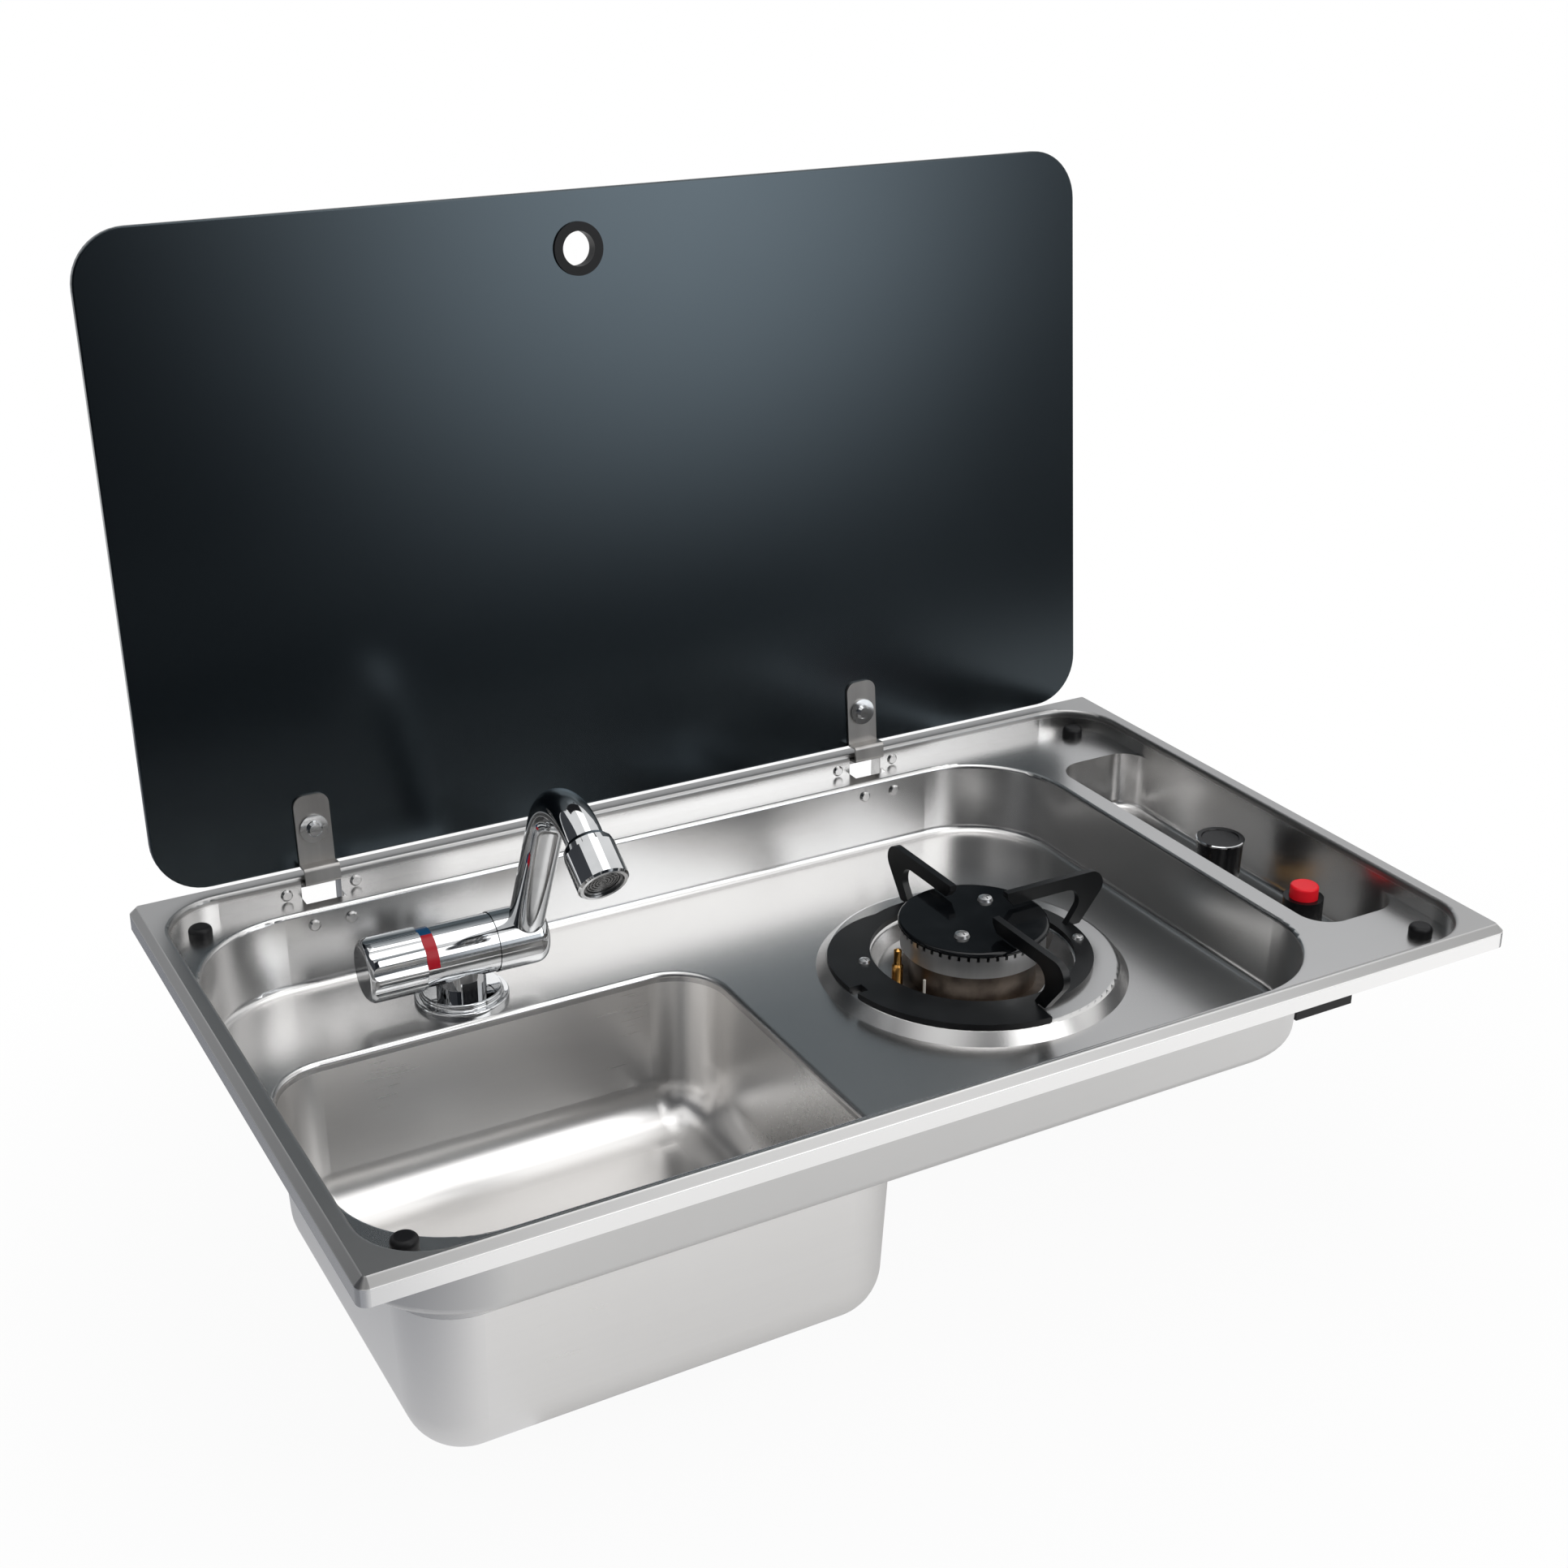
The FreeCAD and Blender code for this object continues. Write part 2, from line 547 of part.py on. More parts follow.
for i, (x, y) in enumerate(screw_spots):
    holes.append(rod("support_hole_%d" % i, "support_screw_radius", "4", x, y, "hump_top - 2"))
node("tray_pressing", cut("tray", deck, *holes))

# lid bumpers pushed into the ledge
bumpers = []
for i, (x, y) in enumerate(bumper_spots):
    bumper = turned("bumper_%d" % i, [
        ("0", "-3"), ("bumper_stem", "-3"), ("bumper_stem", "0"), ("bumper_radius", "0"),
        ("bumper_radius", "bumper_height"), ("0", "bumper_height")], x, y, "0")
    soften(bumper, "bumper_height * 0.45", level("bumper_height"))
    bumpers.append(bumper)
node("lid_bumpers", group("bumper_set", bumpers))


# sink bowl, welded under the rolled mouth of the tray

def bowl_form(name, grow):
    body = new_body(name)
    mouth = rounded(body, name + "_mouth", "bowl_left - %s" % grow, "bowl_right + %s" % grow,
                    "bowl_front - %s" % grow, "bowl_back + %s" % grow, "bowl_corner + %s" % grow,
                    "-well_depth - bowl_neck")
    pad(body, mouth, "bowl_depth - bowl_neck + %s" % grow, down=True, taper="-bowl_draft")
    soften(body, "bowl_round + %s" % grow, level("-well_depth - bowl_depth - %s" % grow))
    return place(body, "0", "0", "0")


bowl_under = "bowl_floor - sheet_thick"
bowl = cut("bowl", bowl_form("bowl_outside", "sheet_thick"), bowl_form("bowl_inside", "0"),
           rod("bowl_drain_hole", "drain_hole", "10", "drain_x", "drain_y", "bowl_floor - 5"))
node("sink_bowl", bowl)

# drain: strainer on top of the bowl floor, seal and cup below it, spigot with a shoulder to the back
strainer = turned("strainer", [
    ("drain_screw_radius", "-2"), ("drain_hole - 3", "-2"), ("drain_hole - 1", "drain_lip - 0.6"),
    ("drain_flange_radius - 1", "drain_lip"), ("drain_flange_radius", "0"), ("drain_hole - 0.5", "0"),
    ("drain_hole - 0.5", "-6"), ("drain_hole - 3", "-6"), ("drain_hole - 3", "-4"),
    ("drain_screw_radius", "-4"),
], "drain_x", "drain_y", "bowl_floor")
strainer_hole = disc(strainer, "strainer_hole", "XY_Plane", "strainer_place", "0", "strainer_hole_radius")
strainer_cut = sink(strainer, strainer_hole, "6")
repeat(strainer, "strainer_holes", strainer_cut, "Z_Axis", "strainer_count")
node("drain_strainer", strainer)
node("drain_seal", turned("seal", [
    ("drain_hole", "0"), ("drain_cup_radius", "0"), ("drain_cup_radius", "-drain_seal_thick"),
    ("drain_hole", "-drain_seal_thick")], "drain_x", "drain_y", bowl_under))
cup_bottom = bowl_under + " - drain_seal_thick - drain_cup_height"
cup_stock = rod("cup_stock", "drain_cup_radius", "drain_cup_height", "drain_x", "drain_y", cup_bottom)
cup_inside = "drain_cup_radius - drain_wall"
cup_ceiling = "drain_cup_height - drain_wall"
cup_space = turned("cup_space", [
    ("0", "drain_wall"), (cup_inside, "drain_wall"), (cup_inside, cup_ceiling), ("drain_hole", cup_ceiling),
    ("drain_hole", "drain_cup_height + 1"), ("0", "drain_cup_height + 1")], "drain_x", "drain_y", cup_bottom)
spigot_z = cup_bottom + " + drain_cup_height / 2"
root = rod("spigot_root", "drain_cup_height / 2", "drain_root", "drain_x", "drain_y", spigot_z, "y")
spigot = rod("spigot", "drain_spigot_radius", "drain_reach", "drain_x", "drain_y", spigot_z, "y")
spigot_bore = rod("spigot_bore", "drain_spigot_radius - drain_wall", "drain_reach + 1",
                  "drain_x", "drain_y", spigot_z, "y")
node("drain_cup", cut("cup", join("cup_and_spigot", [cup_stock, root, spigot]), cup_space, spigot_bore))
screw_foot = "-sheet_thick - drain_seal_thick - drain_cup_height + drain_wall"
node("drain_screw", turned("centre_screw", [
    ("0", "-0.6"), ("drain_screw_radius + 1.5", "-0.6"), ("drain_screw_radius + 2", "-2"),
    ("drain_screw_radius", "-2"), ("drain_screw_radius", screw_foot), ("0", screw_foot),
], "drain_x", "drain_y", "bowl_floor"))

# burner: pot under the deck, slotted crown, enamelled cap
crown_foot = "cap_top - cap_thick - crown_height"
flange_top = "dish_floor - sheet_thick"
pot = turned("pot", [
    ("pot_radius", "pot_bottom"), ("pot_radius", flange_top + " - pot_wall / 2"),
    ("pot_flange_radius", flange_top + " - pot_wall / 2"), ("pot_flange_radius", flange_top),
    ("pot_radius", flange_top), ("pot_radius", crown_foot), ("pot_radius - pot_wall", crown_foot),
    ("pot_radius - pot_wall", "pot_bottom + pot_wall"), ("0", "pot_bottom + pot_wall"), ("0", "pot_bottom"),
], "burner_x", "burner_y", "0")
tube_start = "burner_x + pot_radius - pot_wall / 2"
tube_end = "valve_x - valve_length / 2 - injector_length + 4"
tube_socket = rod("tube_socket", "tube_radius", "pot_wall", tube_start, "burner_y", "tube_drop", "x")
node("burner_pot", cut("burner_casting", pot, tube_socket))
crown = turned("crown", [
    ("crown_hole", "0"), ("crown_radius", "0"), ("crown_radius", "crown_height"),
    ("crown_radius - crown_wall", "crown_height"), ("crown_radius - crown_wall", "crown_web"),
    ("crown_hole", "crown_web")], "burner_x", "burner_y", crown_foot)
slot_in = "crown_radius - crown_wall - 1"
slot_out = "crown_radius + 1"
slot = polygon(crown, "flame_slot", "XY_Plane", [
    (slot_in, "-slot_width / 2"), (slot_out, "-slot_width / 2"), (slot_out, "slot_width / 2"),
    (slot_in, "slot_width / 2")], "crown_height")
slot_cut = sink(crown, slot, "slot_depth")
repeat(crown, "flame_slots", slot_cut, "Z_Axis", "slot_count")
cap_spots = []
for turn in ("cap_screw_turn", "cap_screw_turn + 180"):
    cap_spots.append(("burner_x + cap_screw_place * cos(%s)" % turn,
                      "burner_y + cap_screw_place * sin(%s)" % turn))
crown_holes = [rod("crown_hole_%d" % i, "cap_screw_radius", "crown_web + 2", x, y, crown_foot + " - 1")
               for i, (x, y) in enumerate(cap_spots)]
node("flame_crown", cut("holed_crown", crown, *crown_holes))
cap = turned("cap", [("0", "0"), ("cap_radius - 1", "0"), ("cap_radius", "1"), ("cap_radius", "cap_thick"),
                     ("0", "cap_thick")], "burner_x", "burner_y", "cap_top - cap_thick")
soften(cap, "cap_thick / 2", level("cap_thick"))
cap_holes = [rod("cap_hole_%d" % i, "cap_screw_radius", "cap_thick + 2", x, y, "cap_top - cap_thick - 1")
             for i, (x, y) in enumerate(cap_spots)]
node("burner_cap", cut("holed_cap", cap, *cap_holes))


def cross_screw(name, radius, head, length, x, y, z):
    body = turned(name, [("0", "-(%s)" % length), (radius, "-(%s)" % length), (radius, "0"), (head, "0"),
                         ("%s * 0.85" % head, "%s * 0.4" % head), ("0", "%s * 0.6" % head)], x, y, z)
    arm = "%s * 0.12" % head
    for axis in range(2):
        long_x = "%s * 0.6" % head if axis == 0 else arm
        long_y = arm if axis == 0 else "%s * 0.6" % head
        cross = polygon(body, "%s_cross_%d" % (name, axis), "XY_Plane", [
            ("-(%s)" % long_x, "-(%s)" % long_y), (long_x, "-(%s)" % long_y), (long_x, long_y),
            ("-(%s)" % long_x, long_y)], "%s * 0.6 + 1" % head)
        sink(body, cross, "%s * 0.35 + 1" % head)
    return body


cap_screws = [cross_screw("cap_screw_%d" % i, "cap_screw_radius", "cap_screw_head",
                          "cap_thick + crown_height - crown_web + 3", x, y, "cap_top")
              for i, (x, y) in enumerate(cap_spots)]
node("cap_screws", group("cap_screw_set", cap_screws))

# pan support: flat ring that bulges and widens at the front left, and three welded arms
under_ring = "hump_top - 1"
through_ring = "support_thick + 2"
ring = rod("support_ring", "support_outer", "support_thick", "burner_x", "burner_y", "hump_top")
lobe = rod("support_wide", "support_lobe", "support_thick", "burner_x", "burner_y", "hump_top")
lobe.Placement.Rotation = Rotation(Vector(0, 0, 1), value("lobe_turn"))
bind(lobe, {"Angle": "lobe_sweep", "Placement.Rotation.Angle": "lobe_turn"})
bulge = rod("support_bulge", "bulge_radius", "support_thick",
            "burner_x + (support_lobe - bulge_radius) * cos(lobe_turn)",
            "burner_y + (support_lobe - bulge_radius) * sin(lobe_turn)", "hump_top")
ring_hole = rod("support_hole", "support_inner", through_ring, "burner_x", "burner_y", under_ring)
notch = block("support_notch", "lobe_width / 2 + 1", "notch_width", through_ring,
              "burner_x - support_lobe - 1", "burner_y - 3 * notch_width / 2", under_ring)
ring_holes = [rod("ring_screw_hole_%d" % i, "support_screw_radius", through_ring, x, y, under_ring)
              for i, (x, y) in enumerate(screw_spots)]
flat_ring = cut("flat_ring", join("ring_stock", [ring, lobe, bulge]), ring_hole, notch, *ring_holes)


def support_arm(name, turn):
    body = new_body(name)
    under = "arm_top - arm_height"
    shoulder = "arm_outer - arm_height"
    foot = "support_top - 0.5"
    inner = "arm_outer - leg_width - leg_flare"
    outline = polygon(body, name + "_outline", "XZ_Plane", [
        ("arm_inner", "arm_top"), (shoulder, "arm_top"), ("arm_outer", under),
        ("arm_foot + leg_width / 2", foot), ("arm_foot - leg_width / 2", foot),
        (inner, under), ("arm_inner + 4", under), ("arm_inner", "arm_top - 3")])
    slab(body, outline, "arm_thick")
    bends = [(value(shoulder), value("arm_top")), (value("arm_outer"), value(under)),
             (value(inner), value(under))]

    def bend(edge):
        box = edge.BoundBox
        spot = any(math.hypot(box.XMin - x, box.ZMin - z) < 0.01 for x, z in bends)
        return spot and box.XLength < 0.01 and box.ZLength < 0.01
    soften(body, "arm_round", bend)
    place(body, "burner_x", "burner_y", "0")
    body.Placement.Rotation = Rotation(Vector(0, 0, 1), turn)
    return body


arms = [support_arm("arm_right", 0), support_arm("arm_back", 90), support_arm("arm_front", 270)]
node("pan_support", join("support", [flat_ring] + arms))
support_screws = [cross_screw("support_screw_%d" % i, "support_screw_radius", "support_screw_head",
                              "support_thick + 4", x, y, "support_top")
                  for i, (x, y) in enumerate(screw_spots)]
node("support_screws", group("support_screw_set", support_screws))

# flame sensing probe and spark electrode beside the crown
probe_tip = "probe_radius * 0.7"
node("flame_probe", turned("probe", [
    ("0", "-probe_drop"), ("probe_radius", "-probe_drop"), ("probe_radius", "probe_rise - 10"),
    (probe_tip, "probe_rise - 9"), (probe_tip, "probe_rise - 1"), ("0", "probe_rise")],
    probe_x, probe_y, "dish_floor"))
node("spark_electrode", turned("electrode", [
    ("0", "-electrode_drop"), ("electrode_radius", "-electrode_drop"),
    ("electrode_radius", "electrode_rise - 10.5"), ("wire_radius", "electrode_rise - 9.5"),
    ("wire_radius", "electrode_rise - 0.5"), ("0", "electrode_rise")],
    electrode_x, electrode_y, "dish_floor"))

# gas train: mixing tube, injector, valve, feed pipe
tube_length = "%s - (%s)" % (tube_end, tube_start)
tube = turned_along("tube", [
    ("0", "tube_radius - tube_wall"), (tube_length, "tube_radius - tube_wall"),
    (tube_length, "tube_radius + 2"), ("%s - 4" % tube_length, "tube_radius + 2"),
    ("%s - 8" % tube_length, "tube_radius"), ("0", "tube_radius")])
node("mixing_tube", place(tube, tube_start, "burner_y", "tube_drop"))
injector = turned_along("injector_turned", [
    ("0", "0"), ("0", "injector_radius"), ("-injector_length / 2", "injector_radius"),
    ("-injector_length / 2", "injector_radius * 0.7"), ("-injector_length", "injector_radius * 0.4"),
    ("-injector_length", "0")])
valve_face = "valve_x - valve_length / 2"
node("gas_injector", place(injector, valve_face, "burner_y", "tube_drop"))
valve_block = block("valve_block", "valve_length", "valve_width", "valve_height", valve_face,
                    "valve_y - valve_width / 2", "valve_top - valve_height")
bush = rod("valve_bush", "bush_radius", "bush_height + 1", "valve_x", "valve_y", "valve_top - 1")
spindle_foot = "valve_top + bush_height - spindle_depth"
pin_foot = "valve_top - valve_height + 2"
spindle_bore = rod("spindle_bore", "spindle_radius + running_gap", "spindle_depth + 8",
                   "valve_x", "valve_y", spindle_foot + " - 7")
pin_bore = rod("safety_bore", "spindle_radius / 2 + running_gap", "%s - (%s)" % (spindle_foot, pin_foot),
               "valve_x", "valve_y", pin_foot)
node("gas_valve", cut("valve", join("valve_stock", [valve_block, bush]), spindle_bore, pin_bore))
node("valve_nut", hexagon("panel_nut", "nut_across", "nut_thick", "valve_x", "valve_y", "-pocket_depth",
                          "bush_radius"))
feed_z = "valve_top - valve_height / 2"
valve_back = "valve_y + valve_width / 2"
node("gas_pipe", pipe("feed", "gas_pipe_radius", "gas_pipe_bend", [
    ("valve_x", valve_back, feed_z), ("valve_x", "gas_pipe_back", feed_z),
    ("valve_x", "gas_pipe_back", "gas_pipe_end")]))
gas_nut = turned("gas_nut_turned", [
    ("gas_pipe_radius", "0"), ("gas_nut_radius", "0"), ("gas_nut_radius", "gas_nut_length"),
    ("gas_pipe_radius", "gas_nut_length")], "valve_x", valve_back, feed_z, "y")
node("gas_pipe_nut", gas_nut)

# gas knob on its spindle, with the safety pin that it pushes
spindle_length = "knob_top - knob_height / 2 - (%s)" % spindle_foot
node("valve_spindle", rod("spindle", "spindle_radius", spindle_length, "valve_x", "valve_y", spindle_foot))
safety_foot = pin_foot + " + safety_room"
safety_length = "%s - (%s)" % (spindle_foot, safety_foot)
node("safety_pin", rod("safety", "spindle_radius / 2", safety_length, "valve_x", "valve_y", safety_foot))
ring_foot = "knob_height - knob_ring_height"
knob = turned("knob", [
    ("spindle_radius", "0"), ("knob_foot_radius", "0"), ("knob_radius - knob_ring_thick", ring_foot),
    ("knob_radius - knob_ring_thick", "knob_height"), ("knob_radius - 3", "knob_height"),
    ("knob_radius - 3.5", "knob_height - 0.6"), ("0", "knob_height - 0.6"), ("0", "knob_height / 2"),
    ("spindle_radius", "knob_height / 2")], "valve_x", "valve_y", "knob_foot")
node("gas_knob", knob)
node("knob_ring", turned("trim_ring", [
    ("knob_radius - knob_ring_thick", ring_foot), ("knob_radius", ring_foot),
    ("knob_radius", "knob_height - 0.4"), ("knob_radius - knob_ring_thick", "knob_height - 0.1")],
    "valve_x", "valve_y", "knob_foot"))

# igniter: dark housing under the pocket, bezel on its floor, sprung button
box_x = "igniter_x + igniter_box_shift_x - igniter_box_length / 2"
box_y = "igniter_y + igniter_box_shift_y - igniter_box_width / 2"
housing = block("housing_box", "igniter_box_length", "igniter_box_width", "igniter_box_height", box_x, box_y,
                "valve_top - igniter_box_height")
igniter_bush = rod("igniter_bush", "igniter_bush_radius", "sheet_thick + bezel_floor + 1",
                   "igniter_x", "igniter_y", "valve_top - 1")
plunger_bore = rod("plunger_bore", "plunger_radius + running_gap", "igniter_box_height + 2",
                   "igniter_x", "igniter_y", "valve_top - igniter_box_height + 2")
node("igniter_housing", cut("housing", join("housing_stock", [housing, igniter_bush]), plunger_bore))
node("igniter_bezel", turned("bezel", [
    ("igniter_bush_radius", "0"), ("bezel_radius + 1", "0"), ("bezel_radius", "bezel_floor"),
    ("bezel_radius", "bezel_height"), ("button_radius + slide_gap", "bezel_height"),
    ("button_radius + slide_gap", "bezel_floor"), ("igniter_bush_radius", "bezel_floor"),
], "igniter_x", "igniter_y", "-pocket_depth"))
button = turned("button", [
    ("plunger_radius", "0"), ("button_radius", "0"), ("button_radius", "button_height"),
    ("0", "button_height"), ("0", "button_socket"), ("plunger_radius", "button_socket")],
    "igniter_x", "igniter_y", "button_foot")
soften(button, "button_round", level("button_height"))
node("igniter_button", button)
node("igniter_plunger", rod("plunger", "plunger_radius", "plunger_length", "igniter_x", "igniter_y",
                            "button_foot + button_socket - plunger_length"))
lead_z = "valve_top - igniter_box_height * 0.7"
electrode_foot = "dish_floor - electrode_drop"
lead_low = electrode_foot + " - 2 * lead_bend"
node("ignition_lead", pipe("lead", "lead_radius", "lead_bend", [
    (box_x, "igniter_y", lead_z), (electrode_x, "igniter_y", lead_z), (electrode_x, "igniter_y", lead_low),
    (electrode_x, electrode_y, lead_low), (electrode_x, electrode_y, electrode_foot)]))
valve_under = "valve_top - valve_height"
line_low = valve_under + " - 2 * lead_bend"
line_x = "valve_x + valve_length / 4"
node("sensor_line", pipe("capillary", "sensor_line_radius", "lead_bend", [
    (probe_x, probe_y, "dish_floor - probe_drop"), (probe_x, probe_y, line_low),
    (line_x, probe_y, line_low), (line_x, probe_y, valve_under)]))

# tap: everything is placed from the middle of its base, turned a little towards the front

def on_tap(item, along, back, up):
    item.Placement = FreeCAD.Placement(Vector(), Rotation(Vector(0, 0, -1), value("tap_yaw")))
    bind(item, {
        "Placement.Rotation.Angle": "tap_yaw",
        "Placement.Base.x": "tap_x + (%s) * cos(tap_yaw) + (%s) * sin(tap_yaw)" % (along, back),
        "Placement.Base.y": "tap_y - (%s) * sin(tap_yaw) + (%s) * cos(tap_yaw) + front_lip" % (along, back),
        "Placement.Base.z": "-well_depth + %s" % up,
    })
    return item


def rod_on_tap(name, radius, length, along, back, up):
    item = doc.addObject("Part::Cylinder", name)
    bind(item, {"Radius": radius, "Height": length})
    return on_tap(item, along, back, up)


step_top = "tap_base_thick + tap_step_thick"
base = turned("base", [
    ("0", "0"), ("tap_base_radius", "0"), ("tap_base_radius", "tap_base_thick"),
    ("tap_step_radius", "tap_base_thick"), ("tap_step_radius", step_top), ("0", step_top)],
    "tap_x", "tap_y", "-well_depth")
soften(base, "tap_base_round", level("tap_base_thick"))
soften(base, "tap_base_round", level(step_top))
node("tap_base", base)
barrel = turned_along("barrel", [
    ("tap_body_left - tap_spindle_length", "0"), ("tap_body_left - tap_spindle_length", "tap_spindle_radius"),
    ("mark_left", "tap_spindle_radius"), ("mark_left", "tap_body_radius"),
    ("tap_body_right", "tap_body_radius"), ("tap_body_right", "tap_stub_radius"),
    ("tap_body_right + tap_stub_length", "tap_stub_radius"), ("tap_body_right + tap_stub_length", "0")])
on_tap(barrel, "0", "0", "tap_axis_height")
pedestal = rod_on_tap("pedestal", "tap_leg_radius", "tap_axis_height - (%s)" % step_top, "0", "0", step_top)
arch = doc.addObject("Part::Box", "arch")
bind(arch, {"Length": "tap_leg_gap", "Width": "4 * tap_leg_radius",
            "Height": "tap_axis_height - tap_body_radius - 2"})
on_tap(arch, "-tap_leg_gap / 2", "-2 * tap_leg_radius", step_top + " - 2")


def mark_arc(name, forward):
    body = new_body(name)
    profile = polygon(body, name + "_profile", "XY_Plane", [
        ("mark_left", "tap_body_radius - mark_depth"), ("tap_body_left", "tap_body_radius - mark_depth"),
        ("tap_body_left", "tap_body_radius"), ("mark_left", "tap_body_radius")])
    profile.AttachmentOffset = FreeCAD.Placement(Vector(), Rotation(Vector(1, 0, 0), value("mark_turn")))
    bind(profile, {"AttachmentOffset.Rotation.Angle": "mark_turn"})
    item = body.newObject("PartDesign::Revolution", name + "_spin")
    item.Profile = profile
    item.ReferenceAxis = (profile, ["H_Axis"])
    item.Reversed = not forward
    bind(item, {"Angle": "mark_sweep"})
    doc.recompute()
    return on_tap(body, "0", "0", "tap_axis_height")


cold_arc = node("cold_mark", mark_arc("cold_arc", False))
hot_arc = node("hot_mark", mark_arc("hot_arc", True))
node("tap_body", cut("tap_casting", join("tap_stock", [barrel, pedestal]), arch, cold_arc, hot_arc))


def round_end(along, radius):
    def test(edge):
        box = edge.BoundBox
        flat = abs(box.XMax - value(along)) < 0.01 and abs(box.XMin - value(along)) < 0.01
        return flat and box.YLength > value(radius)
    return test


knob_face = "mark_left - slide_gap"
tap_knob = turned_along("tap_knob_turned", [
    (knob_face, "tap_spindle_radius + running_gap"), (knob_face, "tap_knob_radius"),
    (knob_face + " - tap_knob_length", "tap_knob_radius"), (knob_face + " - tap_knob_length", "0"),
    ("tap_body_left - tap_spindle_length - 1", "0"),
    ("tap_body_left - tap_spindle_length - 1", "tap_spindle_radius + running_gap")])
soften(tap_knob, "tap_knob_end", round_end(knob_face + " - tap_knob_length", "tap_knob_radius"))
flute = disc(tap_knob, "flute", "YZ_Plane", "0", "tap_knob_radius + flute_radius - flute_depth",
             "flute_radius", knob_face + " + 1")
flute_cut = sink(tap_knob, flute, "tap_knob_length")
repeat(tap_knob, "flutes", flute_cut, "X_Axis", "flute_count")
node("tap_knob", on_tap(tap_knob, "0", "0", "tap_axis_height"))

# spout: collar on the stub, bent tube, nozzle with its insert
collar_stop = "tap_body_right + tap_stub_length + 0.5"
collar = turned_along("collar_turned", [
    ("collar_face", "tap_stub_radius + running_gap"), ("collar_face", "collar_radius"),
    ("collar_face + collar_length", "collar_radius"), ("collar_face + collar_length", "0"),
    (collar_stop, "0"), (collar_stop, "tap_stub_radius + running_gap")])
soften(collar, "collar_round", round_end("collar_face + collar_length", "collar_radius"))
on_tap(collar, "0", "0", "tap_axis_height")
late = "(spout_lean + spout_turn)"
bend_y = "-spout_straight * sin(spout_lean)"
bend_z = "spout_straight * cos(spout_lean)"
turn_y = bend_y + " + spout_bend * (cos(%s) - cos(spout_lean))" % late
turn_z = bend_z + " + spout_bend * (sin(%s) - sin(spout_lean))" % late
neck_y = turn_y + " - spout_neck * sin(%s)" % late
neck_z = turn_z + " + spout_neck * cos(%s)" % late


def spout_line(body, name):
    spine = new_sketch(body, name, "YZ_Plane", "0")
    stops = [("-spout_socket * sin(spout_lean)", "spout_socket * cos(spout_lean)"), (bend_y, bend_z),
             (turn_y, turn_z), (neck_y, neck_z)]
    spots = [Vector(value(y), value(z), 0) for y, z in stops]
    middle = spots[1] - Vector(math.cos(math.radians(value("spout_lean"))),
                               math.sin(math.radians(value("spout_lean"))), 0) * value("spout_bend")
    circle = Part.Circle(middle, Vector(0, 0, 1), value("spout_bend"))
    spine.addGeometry(Part.LineSegment(spots[0], spots[1]))
    spine.addGeometry(Part.ArcOfCircle(circle, math.radians(value("spout_lean")), math.radians(value(late))))
    spine.addGeometry(Part.LineSegment(spots[2], spots[3]))
    spine.addConstraint(Sketcher.Constraint("Coincident", 0, 2, 1, 1))
    spine.addConstraint(Sketcher.Constraint("Coincident", 1, 2, 2, 1))
    spot = spine.addConstraint(Sketcher.Constraint("Radius", 1, value("spout_bend")))
    bind(spine, {"Constraints[%d]" % spot: "spout_bend"})
    for line, end, (y, z) in ((0, 1, stops[0]), (0, 2, stops[1]), (2, 1, stops[2]), (2, 2, stops[3])):
        pin_point(spine, line, end, y, z)
    return spine


spout = new_body("spout")
spout_spine = spout_line(spout, "spout_spine")
spout_section = new_sketch(spout, "spout_section", "XY_Plane", "spout_socket * cos(spout_lean)")
spout_section.AttachmentOffset = FreeCAD.Placement(spout_section.AttachmentOffset.Base,
                                                   Rotation(Vector(1, 0, 0), value("spout_lean")))
bind(spout_section, {"AttachmentOffset.Base.y": "-spout_socket * sin(spout_lean)",
                     "AttachmentOffset.Rotation.Angle": "spout_lean"})
for index, radius in enumerate(("spout_radius", "spout_radius - spout_wall")):
    spout_section.addGeometry(Part.Circle(Vector(), Vector(0, 0, 1), value(radius)))
    spout_section.addConstraint(Sketcher.Constraint("Coincident", index, 3, -1, 1))
    spot = spout_section.addConstraint(Sketcher.Constraint("Radius", index, value(radius)))
    bind(spout_section, {"Constraints[%d]" % spot: radius})
doc.recompute()
spout_sweep = spout.newObject("PartDesign::AdditivePipe", "spout_sweep")
spout_sweep.Profile = spout_section
spout_sweep.Spine = (spout_spine, ["Edge1", "Edge2", "Edge3"])
doc.recompute()
node("spout_tube", on_tap(spout, "spout_place", "0", "tap_axis_height"))
socket = new_body("socket")
socket_section = new_sketch(socket, "socket_section", "XY_Plane", "spout_socket * cos(spout_lean)")
socket_section.AttachmentOffset = spout_section.AttachmentOffset
bind(socket_section, {"AttachmentOffset.Base.y": "-spout_socket * sin(spout_lean)",
                      "AttachmentOffset.Rotation.Angle": "spout_lean"})
socket_section.addGeometry(Part.Circle(Vector(), Vector(0, 0, 1), value("spout_radius")))
socket_section.addConstraint(Sketcher.Constraint("Coincident", 0, 3, -1, 1))
spot = socket_section.addConstraint(Sketcher.Constraint("Radius", 0, value("spout_radius")))
bind(socket_section, {"Constraints[%d]" % spot: "spout_radius"})
pad(socket, socket_section, "collar_radius")
on_tap(socket, "spout_place", "0", "tap_axis_height")
node("spout_collar", cut("collar", collar, socket))


